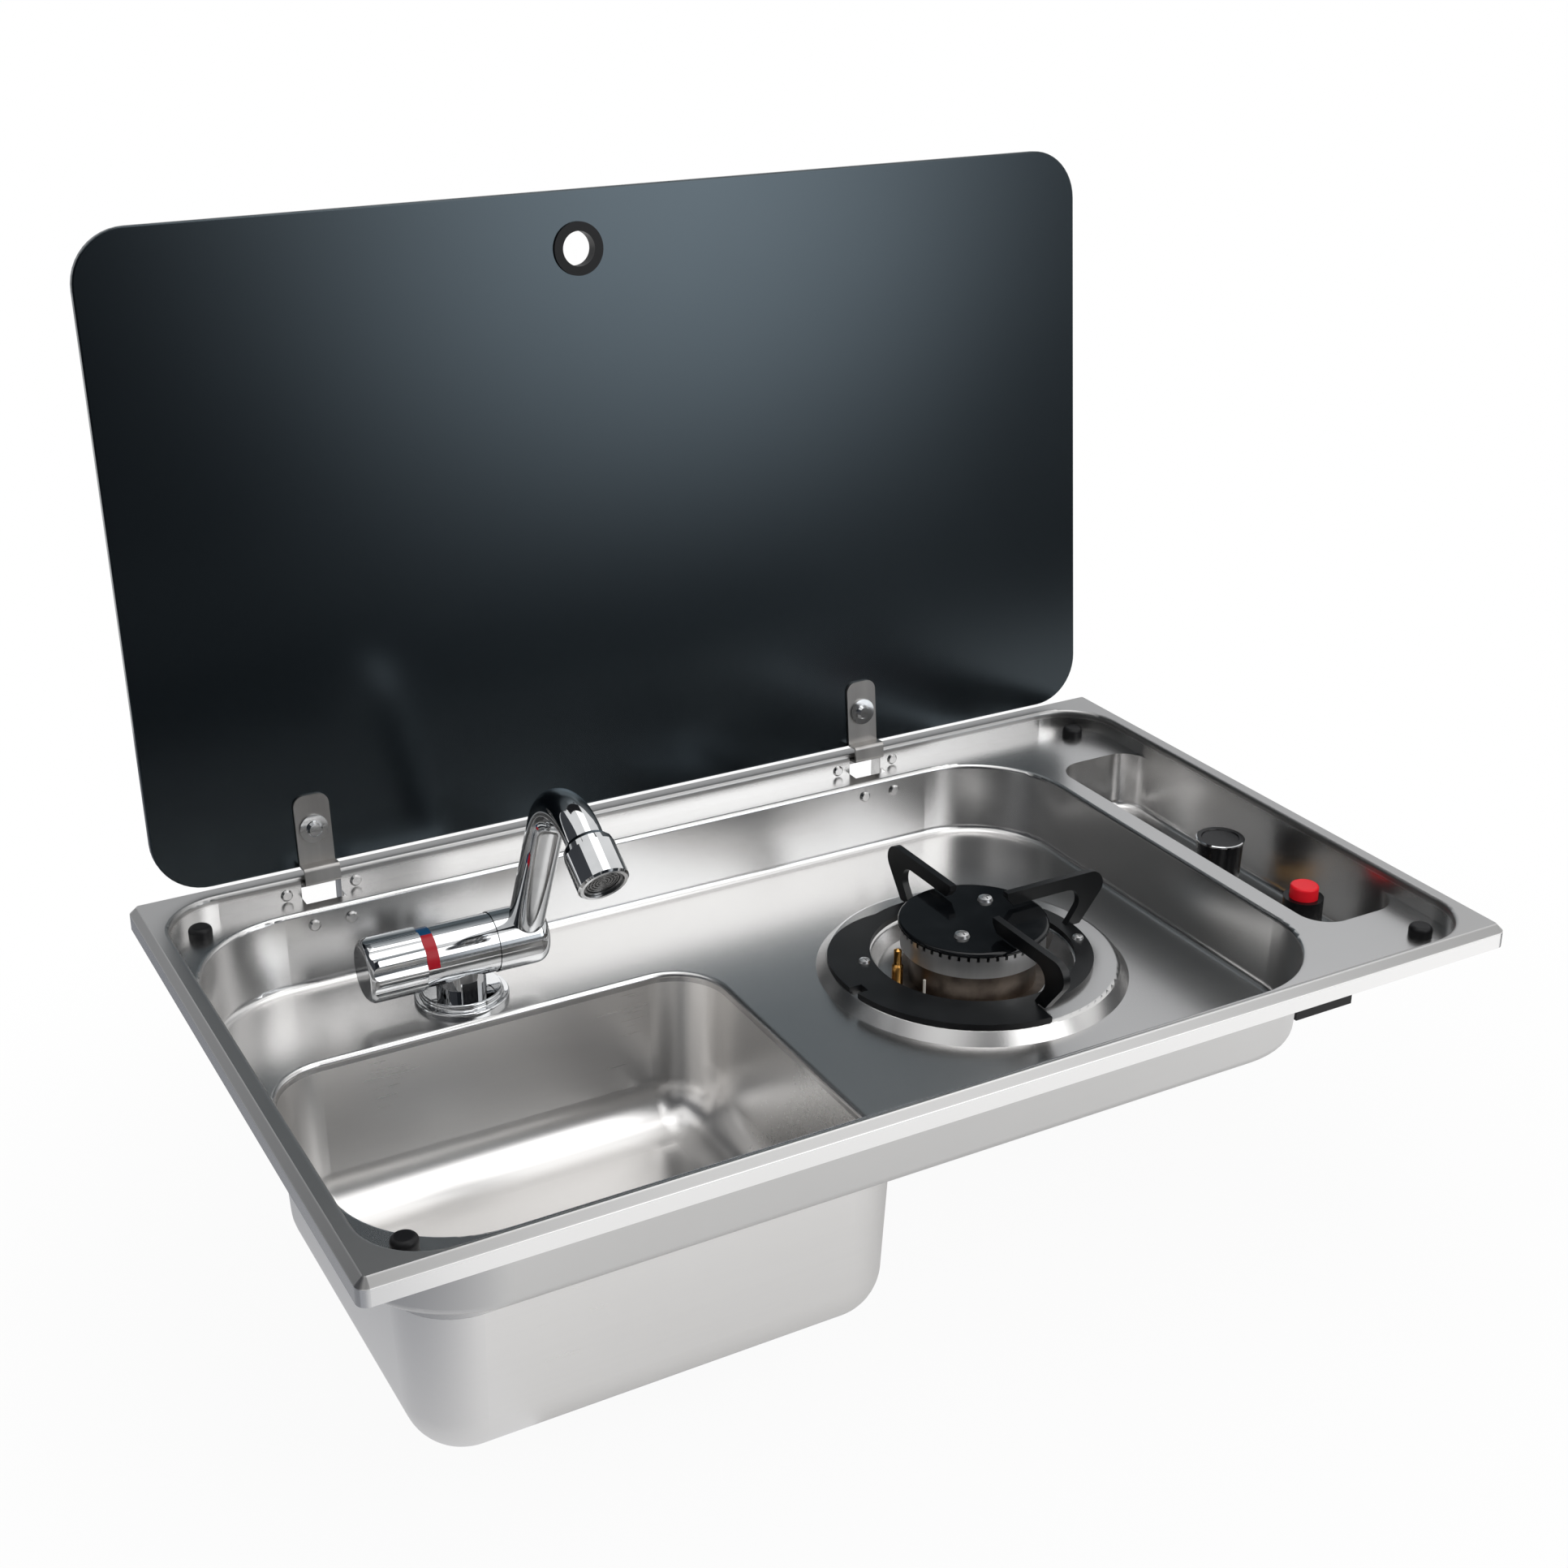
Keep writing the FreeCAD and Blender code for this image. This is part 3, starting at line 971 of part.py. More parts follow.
def turned_on_spout(name, profile):
    body = new_body(name)
    points = []
    for radius, height in profile:
        points.append((neck_y + " - (%s) * sin(%s) - (%s) * cos(%s)" % (height, late, radius, late),
                       neck_z + " + (%s) * cos(%s) - (%s) * sin(%s)" % (height, late, radius, late)))
    sketch = polygon(body, name + "_profile", "YZ_Plane", points)
    ends = [(neck_y, neck_z), (neck_y + " - 10 * sin(%s)" % late, neck_z + " + 10 * cos(%s)" % late)]
    axis = sketch.addGeometry(Part.LineSegment(*[Vector(value(y), value(z), 0) for y, z in ends]), True)
    for end, (y, z) in enumerate(ends, 1):
        pin_point(sketch, axis, end, y, z)
    item = body.newObject("PartDesign::Revolution", name + "_spin")
    item.Profile = sketch
    item.ReferenceAxis = (sketch, ["Axis0"])
    item.Angle = 360
    doc.recompute()
    return on_tap(body, "spout_place", "0", "tap_axis_height")


mouth = "nozzle_length - nozzle_socket"
mesh_back = mouth + " - mesh_thick - mesh_inset"
bore = "spout_radius - spout_wall"
node("spout_nozzle", turned_on_spout("nozzle", [
    ("spout_radius", "-nozzle_socket"), ("spout_radius + 0.8", "-nozzle_socket - 1.5"),
    ("nozzle_radius - 0.6", "-nozzle_socket + 1"), ("nozzle_radius", "-nozzle_socket + 4"),
    ("nozzle_radius", mouth + " - 1"), ("nozzle_radius - 1", mouth), ("mesh_radius", mouth),
    ("mesh_radius", mesh_back), (bore, mesh_back), (bore, "0"), ("spout_radius", "0")]))
node("spout_insert", turned_on_spout("insert", [
    ("0", mesh_back), ("mesh_radius", mesh_back), ("mesh_radius", mouth + " - mesh_inset"),
    ("mesh_radius - 2", mouth + " - mesh_inset"), ("mesh_radius - 2", mouth + " - mesh_inset - 1"),
    ("0", mouth + " - mesh_inset - 1")]))

# tap fixing and water tails under the deck
deck_under = "-well_depth - sheet_thick"
shank_foot = "-well_depth - shank_length"
node("tap_shank", rod("shank", "shank_radius", "shank_length", "tap_x", "tap_y", shank_foot))
node("tap_washer", turned("washer", [
    ("shank_radius", "-tap_washer_thick"), ("tap_washer_radius", "-tap_washer_thick"),
    ("tap_washer_radius", "0"), ("shank_radius", "0")], "tap_x", "tap_y", deck_under))
node("tap_nut", hexagon("back_nut", "tap_nut_across", "tap_nut_thick", "tap_x", "tap_y",
                        deck_under + " - tap_washer_thick - tap_nut_thick", "shank_radius"))
for label, sign in (("hot_tail", "-"), ("cold_tail", "+")):
    node(label, rod(label + "_pipe", "tail_radius", "tail_length", "tap_x %s tail_place" % sign, "tap_y",
                    shank_foot + " - tail_length"))

# lid: drawn closed with the hinge pin as its zero, then swung open

def on_lid(item, x, y, z):
    item.Placement = FreeCAD.Placement(Vector(), Rotation(Vector(-1, 0, 0), value("lid_open")))
    bind(item, {
        "Placement.Rotation.Angle": "lid_open",
        "Placement.Base.x": x,
        "Placement.Base.y": "pin_y + (%s) * cos(lid_open) + (%s) * sin(lid_open) + front_lip" % (y, z),
        "Placement.Base.z": "pin_z - (%s) * sin(lid_open) + (%s) * cos(lid_open)" % (y, z),
    })
    return item


def rod_on_lid(name, radius, length, x, y, z):
    item = doc.addObject("Part::Cylinder", name)
    bind(item, {"Radius": radius, "Height": length})
    return on_lid(item, x, y, z)


lid_under = "lid_lift - pin_z"
lid_top = lid_under + " + lid_thick"
lid_front = "-lid_back_gap - lid_width"
grommet_y = lid_front + " + grommet_edge"
pane = new_body("pane")
pane_outline = rounded(pane, "pane_outline", "-lid_length / 2", "lid_length / 2", lid_front, "-lid_back_gap",
                       "lid_corner", lid_under)
pad(pane, pane_outline, "lid_thick")
soften(pane, "lid_thick / 6", lambda edge: edge.BoundBox.ZLength < 0.01)
on_lid(pane, "0", "0", "0")
pane_holes = [rod_on_lid("grommet_bore", "grommet_hole + grommet_wall", "lid_thick + 2",
                         "grommet_x", grommet_y, lid_under + " - 1")]
for side, hinge_x in hinges.items():
    pane_holes.append(rod_on_lid("pane_hole_" + side, "strap_screw_radius", "lid_thick + 2", hinge_x,
                                 "-strap_screw_place", lid_under + " - 1"))
node("lid_glass", cut("glass", pane, *pane_holes))
grommet = new_body("grommet")
grommet_profile = polygon(grommet, "grommet_profile", "XZ_Plane", [
    ("grommet_hole", "-grommet_lip"), ("grommet_radius", "-grommet_lip"), ("grommet_radius", "0"),
    ("grommet_hole + grommet_wall", "0"), ("grommet_hole + grommet_wall", "lid_thick"),
    ("grommet_radius", "lid_thick"), ("grommet_radius", "lid_thick + grommet_lip"),
    ("grommet_hole", "lid_thick + grommet_lip")])
grommet_spin = grommet.newObject("PartDesign::Revolution", "grommet_spin")
grommet_spin.Profile = grommet_profile
grommet_spin.ReferenceAxis = (grommet_profile, ["V_Axis"])
grommet_spin.Angle = 360
doc.recompute()
node("lid_grommet", on_lid(grommet, "grommet_x", grommet_y, lid_under))


# hinges: gooseneck strap on the glass, pin and bracket under the back flange

def strap(side, hinge_x):
    name = "strap_" + side
    half = "strap_thick / 2"
    body = new_body(name)
    outline = polygon(body, name + "_outline", "YZ_Plane", [
        ("-strap_end", lid_under), ("-strap_drop_y + " + half, lid_under),
        ("-strap_drop_y + " + half, "-strap_drop_z + " + half), ("-" + half, "-strap_drop_z + " + half),
        ("-" + half, "0"), (half, "0"), (half, "-strap_drop_z - " + half),
        ("-strap_drop_y - " + half, "-strap_drop_z - " + half),
        ("-strap_drop_y - " + half, lid_under + " - strap_thick"),
        ("-strap_end", lid_under + " - strap_thick")])
    slab(body, outline, "strap_width")
    knuckle = disc(body, name + "_knuckle", "YZ_Plane", "0", "0", "knuckle_radius")
    slab(body, knuckle, "strap_width")
    outer = [("-strap_drop_y + " + half, lid_under), (half, "-strap_drop_z - " + half),
             ("-strap_drop_y - " + half, "-strap_drop_z - " + half)]
    bends = [(value(y), value(z)) for y, z in outer]
    soften(body, "strap_thick * 1.4", lambda edge: edge.BoundBox.XLength > 1
           and any(math.hypot(edge.BoundBox.YMin - y, edge.BoundBox.ZMin - z) < 0.01 for y, z in bends))
    soften(body, "strap_corner", lambda edge: abs(edge.BoundBox.YMax - value("-strap_end")) < 0.01
           and edge.BoundBox.XLength < 0.01)
    eye = disc(body, name + "_eye", "YZ_Plane", "0", "0", "pin_radius + running_gap", "strap_width")
    sink(body, eye, "2 * strap_width")
    on_lid(body, hinge_x, "0", "0")
    hole = rod_on_lid(name + "_hole", "strap_screw_radius", "6", hinge_x, "-strap_screw_place",
                      lid_under + " - 4")
    return cut(name + "_drilled", body, hole)


def bracket(side, hinge_x):
    name = "bracket_" + side
    body = new_body(name)
    lean = "tan(well_draft)"
    face = "well_back + sheet_thick / cos(well_draft) + wall_gap"
    low = "%s + bracket_floor * %s" % (face, lean)
    high = "%s + (bracket_floor + flange_rise) * %s" % (face, lean)
    inside = "%s + (bracket_floor + ear_thick) * %s + ear_thick" % (face, lean)
    base = polygon(body, name + "_base", "YZ_Plane", [
        (low, "bracket_floor"), ("ear_back", "bracket_floor"), ("ear_back", "bracket_floor + ear_thick"),
        (inside, "bracket_floor + ear_thick"), (high + " + ear_thick", "bracket_floor + flange_rise"),
        (high, "bracket_floor + flange_rise")])
    slab(body, base, "2 * (slot_half + ear_thick)")
    for side_name, start in (("a", "slot_half"), ("b", "-slot_half - ear_thick")):
        ear = polygon(body, "%s_ear_%s" % (name, side_name), "YZ_Plane", [
            ("ear_front", "bracket_floor"), ("ear_back", "bracket_floor"), ("ear_back", "pin_z"),
            ("pin_y + 2", "pin_z + knuckle_radius"), ("pin_y - 2", "pin_z + knuckle_radius"),
            ("ear_front", "pin_z")], start)
        pad(body, ear, "ear_thick")
    for side_name, start in (("c", "slot_half"), ("d", "-tab_reach")):
        tab = polygon(body, "%s_tab_%s" % (name, side_name), "YZ_Plane", [
            ("ear_front", "-1"), ("ear_front + ear_thick", "-1"), ("ear_front + ear_thick", "tab_top"),
            ("ear_front", "tab_top")], start)
        pad(body, tab, "tab_reach - slot_half")
    place(body, hinge_x, "0", "0")
    drills = [rod(name + "_pin_hole", "pin_radius", "2 * tab_reach", hinge_x + " - tab_reach",
                  "pin_y", "pin_z", "x")]
    for sign in (-1, 1):
        wall_x = "%s + %d * wall_rivet_place" % (hinge_x, sign)
        well_x = "%s + %d * well_rivet_place" % (hinge_x, sign)
        drills.append(rod("%s_wall_drill_%d" % (name, sign + 1), "rivet_radius", "10", wall_x,
                          "ear_front - 4", "wall_rivet_z", "y"))
        drills.append(rod("%s_well_drill_%d" % (name, sign + 1), "rivet_radius", "10", well_x,
                          "well_back - 4", "well_rivet_z", "y"))
    return cut(name + "_drilled", body, *drills)


def rivet(name, grip, x, y, z):
    return turned(name, [
        ("0", "-rivet_head_height"), ("rivet_head * 0.7", "-rivet_head_height"), ("rivet_head", "-0.3"),
        ("rivet_head", "0"), ("rivet_radius", "0"), ("rivet_radius", grip), ("rivet_head * 0.8", grip),
        ("rivet_head * 0.8", grip + " + 1"), ("0", grip + " + 1")], x, y, z, "y")


rivets = []
pins = []
strap_screws = []
strap_washers = []
strap_caps = []
strap_under = lid_under + " - strap_thick"
screw_tip = "strap_washer_thick + strap_thick + lid_thick + strap_cap_thick / 2"
for side, hinge_x in hinges.items():
    node("hinge_strap_" + side, strap(side, hinge_x))
    node("hinge_bracket_" + side, bracket(side, hinge_x))
    pins.append(rod("pin_" + side, "pin_radius", "2 * (slot_half + ear_thick + 1)",
                    hinge_x + " - slot_half - ear_thick - 1", "pin_y", "pin_z", "x"))
    for sign in (-1, 1):
        rivets.append(rivet("wall_rivet_%s_%d" % (side, sign + 1), "sheet_thick + fold_gap + ear_thick",
                            "%s + %d * wall_rivet_place" % (hinge_x, sign), "recess_back", "wall_rivet_z"))
        rivets.append(rivet("well_rivet_%s_%d" % (side, sign + 1), "sheet_thick + wall_gap + ear_thick + 0.5",
                            "%s + %d * well_rivet_place" % (hinge_x, sign),
                            "well_back + well_rivet_z * tan(well_draft) - 0.2", "well_rivet_z"))
    screw = new_body("strap_screw_" + side)
    screw_profile = polygon(screw, "strap_screw_profile_" + side, "XZ_Plane", [
        ("0", "-strap_head_height"), ("strap_head_radius * 0.75", "-strap_head_height"),
        ("strap_head_radius", "-0.6"), ("strap_head_radius", "0"), ("strap_screw_radius", "0"),
        ("strap_screw_radius", screw_tip), ("0", screw_tip)])
    screw_spin = screw.newObject("PartDesign::Revolution", "strap_screw_spin_" + side)
    screw_spin.Profile = screw_profile
    screw_spin.ReferenceAxis = (screw_profile, ["V_Axis"])
    screw_spin.Angle = 360
    doc.recompute()
    on_lid(screw, hinge_x, "-strap_screw_place", strap_under + " - strap_washer_thick")
    strap_screws.append(screw)
    washer_stock = rod_on_lid("washer_stock_" + side, "strap_washer_radius", "strap_washer_thick", hinge_x,
                              "-strap_screw_place", strap_under + " - strap_washer_thick")
    washer_bore = rod_on_lid("washer_bore_" + side, "strap_screw_radius", "strap_washer_thick + 2", hinge_x,
                             "-strap_screw_place", strap_under + " - strap_washer_thick - 1")
    strap_washers.append(cut("strap_washer_" + side, washer_stock, washer_bore))
    cap_stock = rod_on_lid("strap_cap_stock_" + side, "strap_cap_radius", "strap_cap_thick", hinge_x,
                           "-strap_screw_place", lid_top)
    cap_bore = rod_on_lid("strap_cap_bore_" + side, "strap_screw_radius", "strap_cap_thick / 2 + 1", hinge_x,
                          "-strap_screw_place", lid_top + " - 1")
    strap_caps.append(cut("strap_cap_" + side, cap_stock, cap_bore))
node("hinge_pins", group("pin_set", pins))
node("hinge_rivets", group("rivet_set", rivets))
node("strap_screws", group("strap_screw_set", strap_screws))
node("strap_washers", group("strap_washer_set", strap_washers))
node("strap_caps", group("strap_cap_set", strap_caps))

# every piece is checked, then written to its own file
doc.recompute()
for item in doc.Objects:
    if "Invalid" in item.State or "Error" in item.State:
        raise RuntimeError("%s is not sound: %s" % (item.Name, item.State))
os.makedirs("parts", exist_ok=True)
for item in nodes:
    if item.Shape.isNull() or not item.Shape.isValid() or not item.Shape.Solids:
        raise RuntimeError("%s has no sound solid" % item.Label)
    item.Shape.exportStep("parts/%s.step" % item.Label)
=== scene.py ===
import json
import math
import bmesh
import bpy
from mathutils import Matrix, Vector


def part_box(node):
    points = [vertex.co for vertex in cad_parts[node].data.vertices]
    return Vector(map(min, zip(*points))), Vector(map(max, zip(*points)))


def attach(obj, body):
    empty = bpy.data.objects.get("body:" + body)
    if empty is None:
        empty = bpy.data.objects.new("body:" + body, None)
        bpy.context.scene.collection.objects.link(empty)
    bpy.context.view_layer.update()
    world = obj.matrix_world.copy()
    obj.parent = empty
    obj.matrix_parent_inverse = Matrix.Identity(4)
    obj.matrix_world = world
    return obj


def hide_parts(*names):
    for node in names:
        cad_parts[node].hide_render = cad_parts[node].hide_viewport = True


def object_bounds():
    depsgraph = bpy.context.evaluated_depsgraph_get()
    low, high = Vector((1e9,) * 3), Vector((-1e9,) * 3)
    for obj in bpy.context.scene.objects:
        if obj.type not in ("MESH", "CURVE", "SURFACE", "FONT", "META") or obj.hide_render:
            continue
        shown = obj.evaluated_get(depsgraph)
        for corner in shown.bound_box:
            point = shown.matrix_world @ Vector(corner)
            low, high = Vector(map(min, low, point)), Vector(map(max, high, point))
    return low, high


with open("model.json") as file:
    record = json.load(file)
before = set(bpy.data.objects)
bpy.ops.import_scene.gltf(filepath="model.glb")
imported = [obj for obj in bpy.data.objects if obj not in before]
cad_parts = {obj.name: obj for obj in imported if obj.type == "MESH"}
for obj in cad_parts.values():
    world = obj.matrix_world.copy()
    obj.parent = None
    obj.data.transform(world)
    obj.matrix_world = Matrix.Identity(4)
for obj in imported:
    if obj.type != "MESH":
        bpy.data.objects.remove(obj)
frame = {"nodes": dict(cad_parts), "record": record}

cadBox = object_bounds()
nodes = frame["nodes"]
print("frame loaded:", len(nodes), "nodes")


# Shader maths: a wrapped socket takes plain sums

class Wire:
    def __init__(self, paint, socket):
        self.paint = paint
        self.socket = socket

    def math(self, operation, *others):
        values = dict(enumerate((self,) + others))
        return self.paint.add("ShaderNodeMath", {"operation": operation}, values)

    def __add__(self, other):
        return self.math("ADD", other)

    def __radd__(self, other):
        return self.math("ADD", other)

    def __sub__(self, other):
        return self.math("SUBTRACT", other)

    def __rsub__(self, other):
        return self.paint.add("ShaderNodeMath", {"operation": "SUBTRACT"}, {0: other, 1: self})

    def __mul__(self, other):
        return self.math("MULTIPLY", other)

    def __rmul__(self, other):
        return self.math("MULTIPLY", other)

    def between(self, low, high):
        # 0 below low, 1 above high, smooth in the middle
        settings = {"interpolation_type": "SMOOTHSTEP"}
        return self.paint.add("ShaderNodeMapRange", settings, {0: self, 1: low, 2: high})

    def swing(self, reach):
        # noise lies about 0.5, so this goes up and down about 0
        return (self - 0.5) * reach


class Paint:
    sockets = {"colour": "Base Color", "rough": "Roughness", "metal": "Metallic", "normal": "Normal",
               "specular": "Specular IOR Level", "tint": "Specular Tint"}

    def __init__(self, name, tree=None):
        if tree is None:
            self.material = bpy.data.materials.new(name)
            self.material.use_nodes = True
            tree = self.material.node_tree
        self.tree = tree
        self.tree.nodes.clear()

    def add(self, kind, settings=None, inputs=None, out=0):
        node = self.tree.nodes.new(kind)
        for key, value in (settings or {}).items():
            setattr(node, key, value)
        for key, value in (inputs or {}).items():
            if isinstance(value, Wire):
                self.tree.links.new(value.socket, node.inputs[key])
            else:
                node.inputs[key].default_value = value
        return Wire(self, node.outputs[out]) if len(node.outputs) else None

    def vector(self, operation, first, second):
        return self.add("ShaderNodeVectorMath", {"operation": operation}, {0: first, 1: second})

    def place(self, stretch=(1, 1, 1)):
        # metres in the piece's own rest frame, stretched to shape a grain
        return self.vector("MULTIPLY", self.add("ShaderNodeTexCoord", out="Object"), stretch)

    def along(self, axis):
        spot = self.add("ShaderNodeTexCoord", out="Object")
        return self.add("ShaderNodeSeparateXYZ", None, {0: spot}, axis)

    def farFrom(self, spot, reach):
        # 0 at the spot, 1 at the reach of each axis
        spread = self.vector("DIVIDE", self.vector("SUBTRACT", self.place(), spot), reach)
        return self.add("ShaderNodeVectorMath", {"operation": "LENGTH"}, {0: spread}, "Value")

    def noise(self, spot, scale, detail=3.0, rough=0.5):
        values = {"Vector": spot, "Scale": scale, "Detail": detail, "Roughness": rough}
        return self.add("ShaderNodeTexNoise", None, values)

    def mix(self, share, first, second):
        # the node's colour sockets: 6 and 7 in, 2 out
        values = {0: share, 6: first, 7: second}
        return self.add("ShaderNodeMix", {"data_type": "RGBA"}, values, 2)

    def bumps(self, scale, height, strength, stretch=(1, 1, 1)):
        # fine unevenness, its height in metres
        fine = self.noise(self.place(stretch), scale, detail=2.0)
        return self.add("ShaderNodeBump", None, {"Height": fine, "Distance": height, "Strength": strength})

    def finish(self, **values):
        named = {self.sockets[key]: value for key, value in values.items()}
        self.show(self.add("ShaderNodeBsdfPrincipled", None, named))
        return self.material

    def show(self, shader, output="ShaderNodeOutputMaterial"):
        self.add(output, None, {"Surface": shader})


def grey(level, warm=0.0):
    return (level + warm, level, level - warm, 1.0)


black = grey(0.0)
white = grey(1.0)


# Finishes

satin = {
    "grain": (6.0, 420.0, 420.0), "grainSharp": 0.6, "grainShare": 0.3, "grainRough": 0.014,
    "cloud": 9.0, "cloudShare": 0.7, "cloudRough": 0.04, "lift": 0.07,
    # zones of the tray and bowl, in metres above the worktop, each with the share of painted shade laid on it
    "flange": (0.0070, 0.0090), "flangePaintedShade": 0.20, "flangeRough": 0.10,
    "fold": (0.0081, 0.0085), "flat": (0.0113, 0.0119), "foldPaintedShade": 0.31,
    "bottom": (-0.1262, -0.1235), "bottomPaintedShade": 0.40,
    # the front lip, in metres back from the frame's origin, and the tone of the painted highlight on it
    "front": (0.0010, 0.0016), "lipPaintedHighlight": 0.93,
}


def satinSteel(name, tone, smooth, warm):
    paint = Paint(name)
    streaks = paint.noise(paint.place(satin["grain"]), scale=1.0, rough=satin["grainSharp"])
    cloud = paint.noise(paint.place(), satin["cloud"])
    shade = streaks * satin["grainShare"] + cloud * satin["cloudShare"]
    colour = paint.mix(shade, grey(tone, warm), grey(tone + satin["lift"], warm))
    height = paint.along("Z")
    raised = height.between(*satin["flange"])
    fold = height.between(*satin["fold"])
    sloped = fold * (1.0 - height.between(*satin["flat"]))
    bottom = 1.0 - height.between(*satin["bottom"])
    # painted shade: the raised flange, its sloped fold and the bowl's flat bottom are mixed towards black
    for zone, share in ((raised, "flangePaintedShade"), (sloped, "foldPaintedShade"), (bottom, "bottomPaintedShade")):
        colour = paint.mix(zone * satin[share], colour, black)
    # painted highlight: the face of the front lip below the fold is lightened
    lip = (1.0 - fold) * (1.0 - paint.along("Y").between(*satin["front"]))
    colour = paint.mix(lip, colour, grey(satin["lipPaintedHighlight"], warm))
    uneven = streaks.swing(satin["grainRough"]) + cloud.swing(satin["cloudRough"])
    rough = smooth + raised * satin["flangeRough"] + uneven
    return paint.finish(colour=colour, metal=1.0, rough=rough)


chromeLook = {"tone": grey(0.66, -0.010), "dull": grey(0.56, -0.010), "dullFrom": (0.35, 0.8),
              "rough": 0.035, "roughFrom": (0.4, 0.8), "filmRough": 0.05,
              "film": 55.0, "filmDetail": 4.0, "fine": 900.0, "bump": (0.000001, 0.4)}


def chromePlate():
    look = chromeLook
    paint = Paint("chromePlate")
    film = paint.noise(paint.place(), look["film"], look["filmDetail"])
    colour = paint.mix(film.between(*look["dullFrom"]), look["tone"], look["dull"])
    rough = look["rough"] + film.between(*look["roughFrom"]) * look["filmRough"]
    return paint.finish(colour=colour, metal=1.0, rough=rough,
                        normal=paint.bumps(look["fine"], *look["bump"]))


glassLook = {"deep": (0.0010, 0.0016, 0.0024, 1), "hazeAndPaintedSheen": (0.0022, 0.0030, 0.0040, 1), "rise": (0.02, 0.36),
             "tint": (0.74, 0.90, 1.0, 1), "specular": 0.9, "rough": 0.20, "cloudRough": 0.05,
             "cloud": 6.0, "cloudDetail": 4.0, "cloudLift": 0.5, "fine": 1400.0, "bump": (0.000002, 0.3)}


def darkGlass():
    look = glassLook
    paint = Paint("darkGlass")
    cloud = paint.noise(paint.place(), look["cloud"], look["cloudDetail"])
    # painted sheen: the lid's colour lightens from its foot towards its top, mottled by a random cloud
    hazeAndPaintedSheen = paint.along("Z").between(*look["rise"]) * (cloud + look["cloudLift"])
    colour = paint.mix(hazeAndPaintedSheen, look["deep"], look["hazeAndPaintedSheen"])
    rough = look["rough"] + cloud.swing(look["cloudRough"])
    return paint.finish(colour=colour, rough=rough, specular=look["specular"], tint=look["tint"],
                        normal=paint.bumps(look["fine"], *look["bump"]))


enamelLook = {"deep": (0.003, 0.0036, 0.0045, 1), "worn": (0.010, 0.011, 0.0125, 1), "wornFrom": (0.35, 0.85),
              "wear": 60.0, "wearDetail": 4.0, "wearRough": 0.1, "fine": 420.0, "bump": 0.6}


def enamel(name, rough, peel, gloss):
    look = enamelLook
    paint = Paint(name)
    wear = paint.noise(paint.place(), look["wear"], look["wearDetail"])
    colour = paint.mix(wear.between(*look["wornFrom"]), look["deep"], look["worn"])
    return paint.finish(colour=colour, rough=rough + wear.swing(look["wearRough"]), specular=gloss,
                        normal=paint.bumps(look["fine"], peel, look["bump"]))


plasticLook = {"shade": 90.0, "shadeRough": 0.08, "fine": 1800.0, "bump": 0.6}


def plastic(name, deep, light, rough, grain, gloss=0.3):
    look = plasticLook
    paint = Paint(name)
    shade = paint.noise(paint.place(), look["shade"])
    colour = paint.mix(shade, deep, light)
    return paint.finish(colour=colour, rough=rough + shade.swing(look["shadeRough"]), specular=gloss,
                        normal=paint.bumps(look["fine"], grain, look["bump"]))


metalLook = {"shade": 70.0, "shadeDetail": 4.0, "lightFrom": (0.3, 0.75), "shadeRough": 0.14,
             "fine": 1300.0, "bump": 0.6}


def metal(name, deep, light, rough, grain, stretch=(1, 1, 1)):
    look = metalLook
    paint = Paint(name)
    shade = paint.noise(paint.place(stretch), look["shade"], look["shadeDetail"])
    colour = paint.mix(shade.between(*look["lightFrom"]), deep, light)
    return paint.finish(colour=colour, metal=1.0, rough=rough + shade.swing(look["shadeRough"]),
                        normal=paint.bumps(look["fine"], grain, look["bump"], stretch))


finishes = {
    "stainless": satinSteel("satinSteel", tone=0.63, smooth=0.26, warm=0.006),
    "chrome": chromePlate(),
    "dark_glass": darkGlass(),
    "enamel": enamel("glossEnamel", rough=0.12, peel=0.000003, gloss=0.35),
    "steel": metal("turnedSteel", grey(0.46, 0.004), grey(0.66, 0.004), rough=0.22, grain=0.000003),
    "aluminium": metal("castAluminium", (0.13, 0.105, 0.088, 1), (0.27, 0.225, 0.19, 1),
                       rough=0.38, grain=0.00001),
    "brass": metal("turnedBrass", (0.42, 0.20, 0.05, 1), (0.72, 0.42, 0.13, 1),
                   rough=0.24, grain=0.000004),
    "rubber": plastic("bumperRubber", (0.004, 0.004, 0.005, 1), (0.010, 0.010, 0.011, 1),
                      rough=0.42, grain=0.000008, gloss=0.25),
    "black_plastic": plastic("blackPlastic", (0.004, 0.004, 0.005, 1), (0.009, 0.009, 0.010, 1),
                             rough=0.26, grain=0.000005),
    "red_plastic": plastic("redPlastic", (0.88, 0.010, 0.022, 1), (0.96, 0.016, 0.030, 1),
                           rough=0.24, grain=0.000003, gloss=0.25),
    "blue_plastic": plastic("coldBlue", (0.004, 0.055, 0.15, 1), (0.008, 0.080, 0.20, 1),
                            rough=0.20, grain=0.000003),
    "ceramic": plastic("glazedCeramic", (0.55, 0.52, 0.47, 1), (0.70, 0.67, 0.62, 1),
                       rough=0.25, grain=0.000006),
    "lead_cover": plastic("leadCover", (0.010, 0.010, 0.011, 1), (0.024, 0.024, 0.026, 1),
                          rough=0.5, grain=0.00001),
}

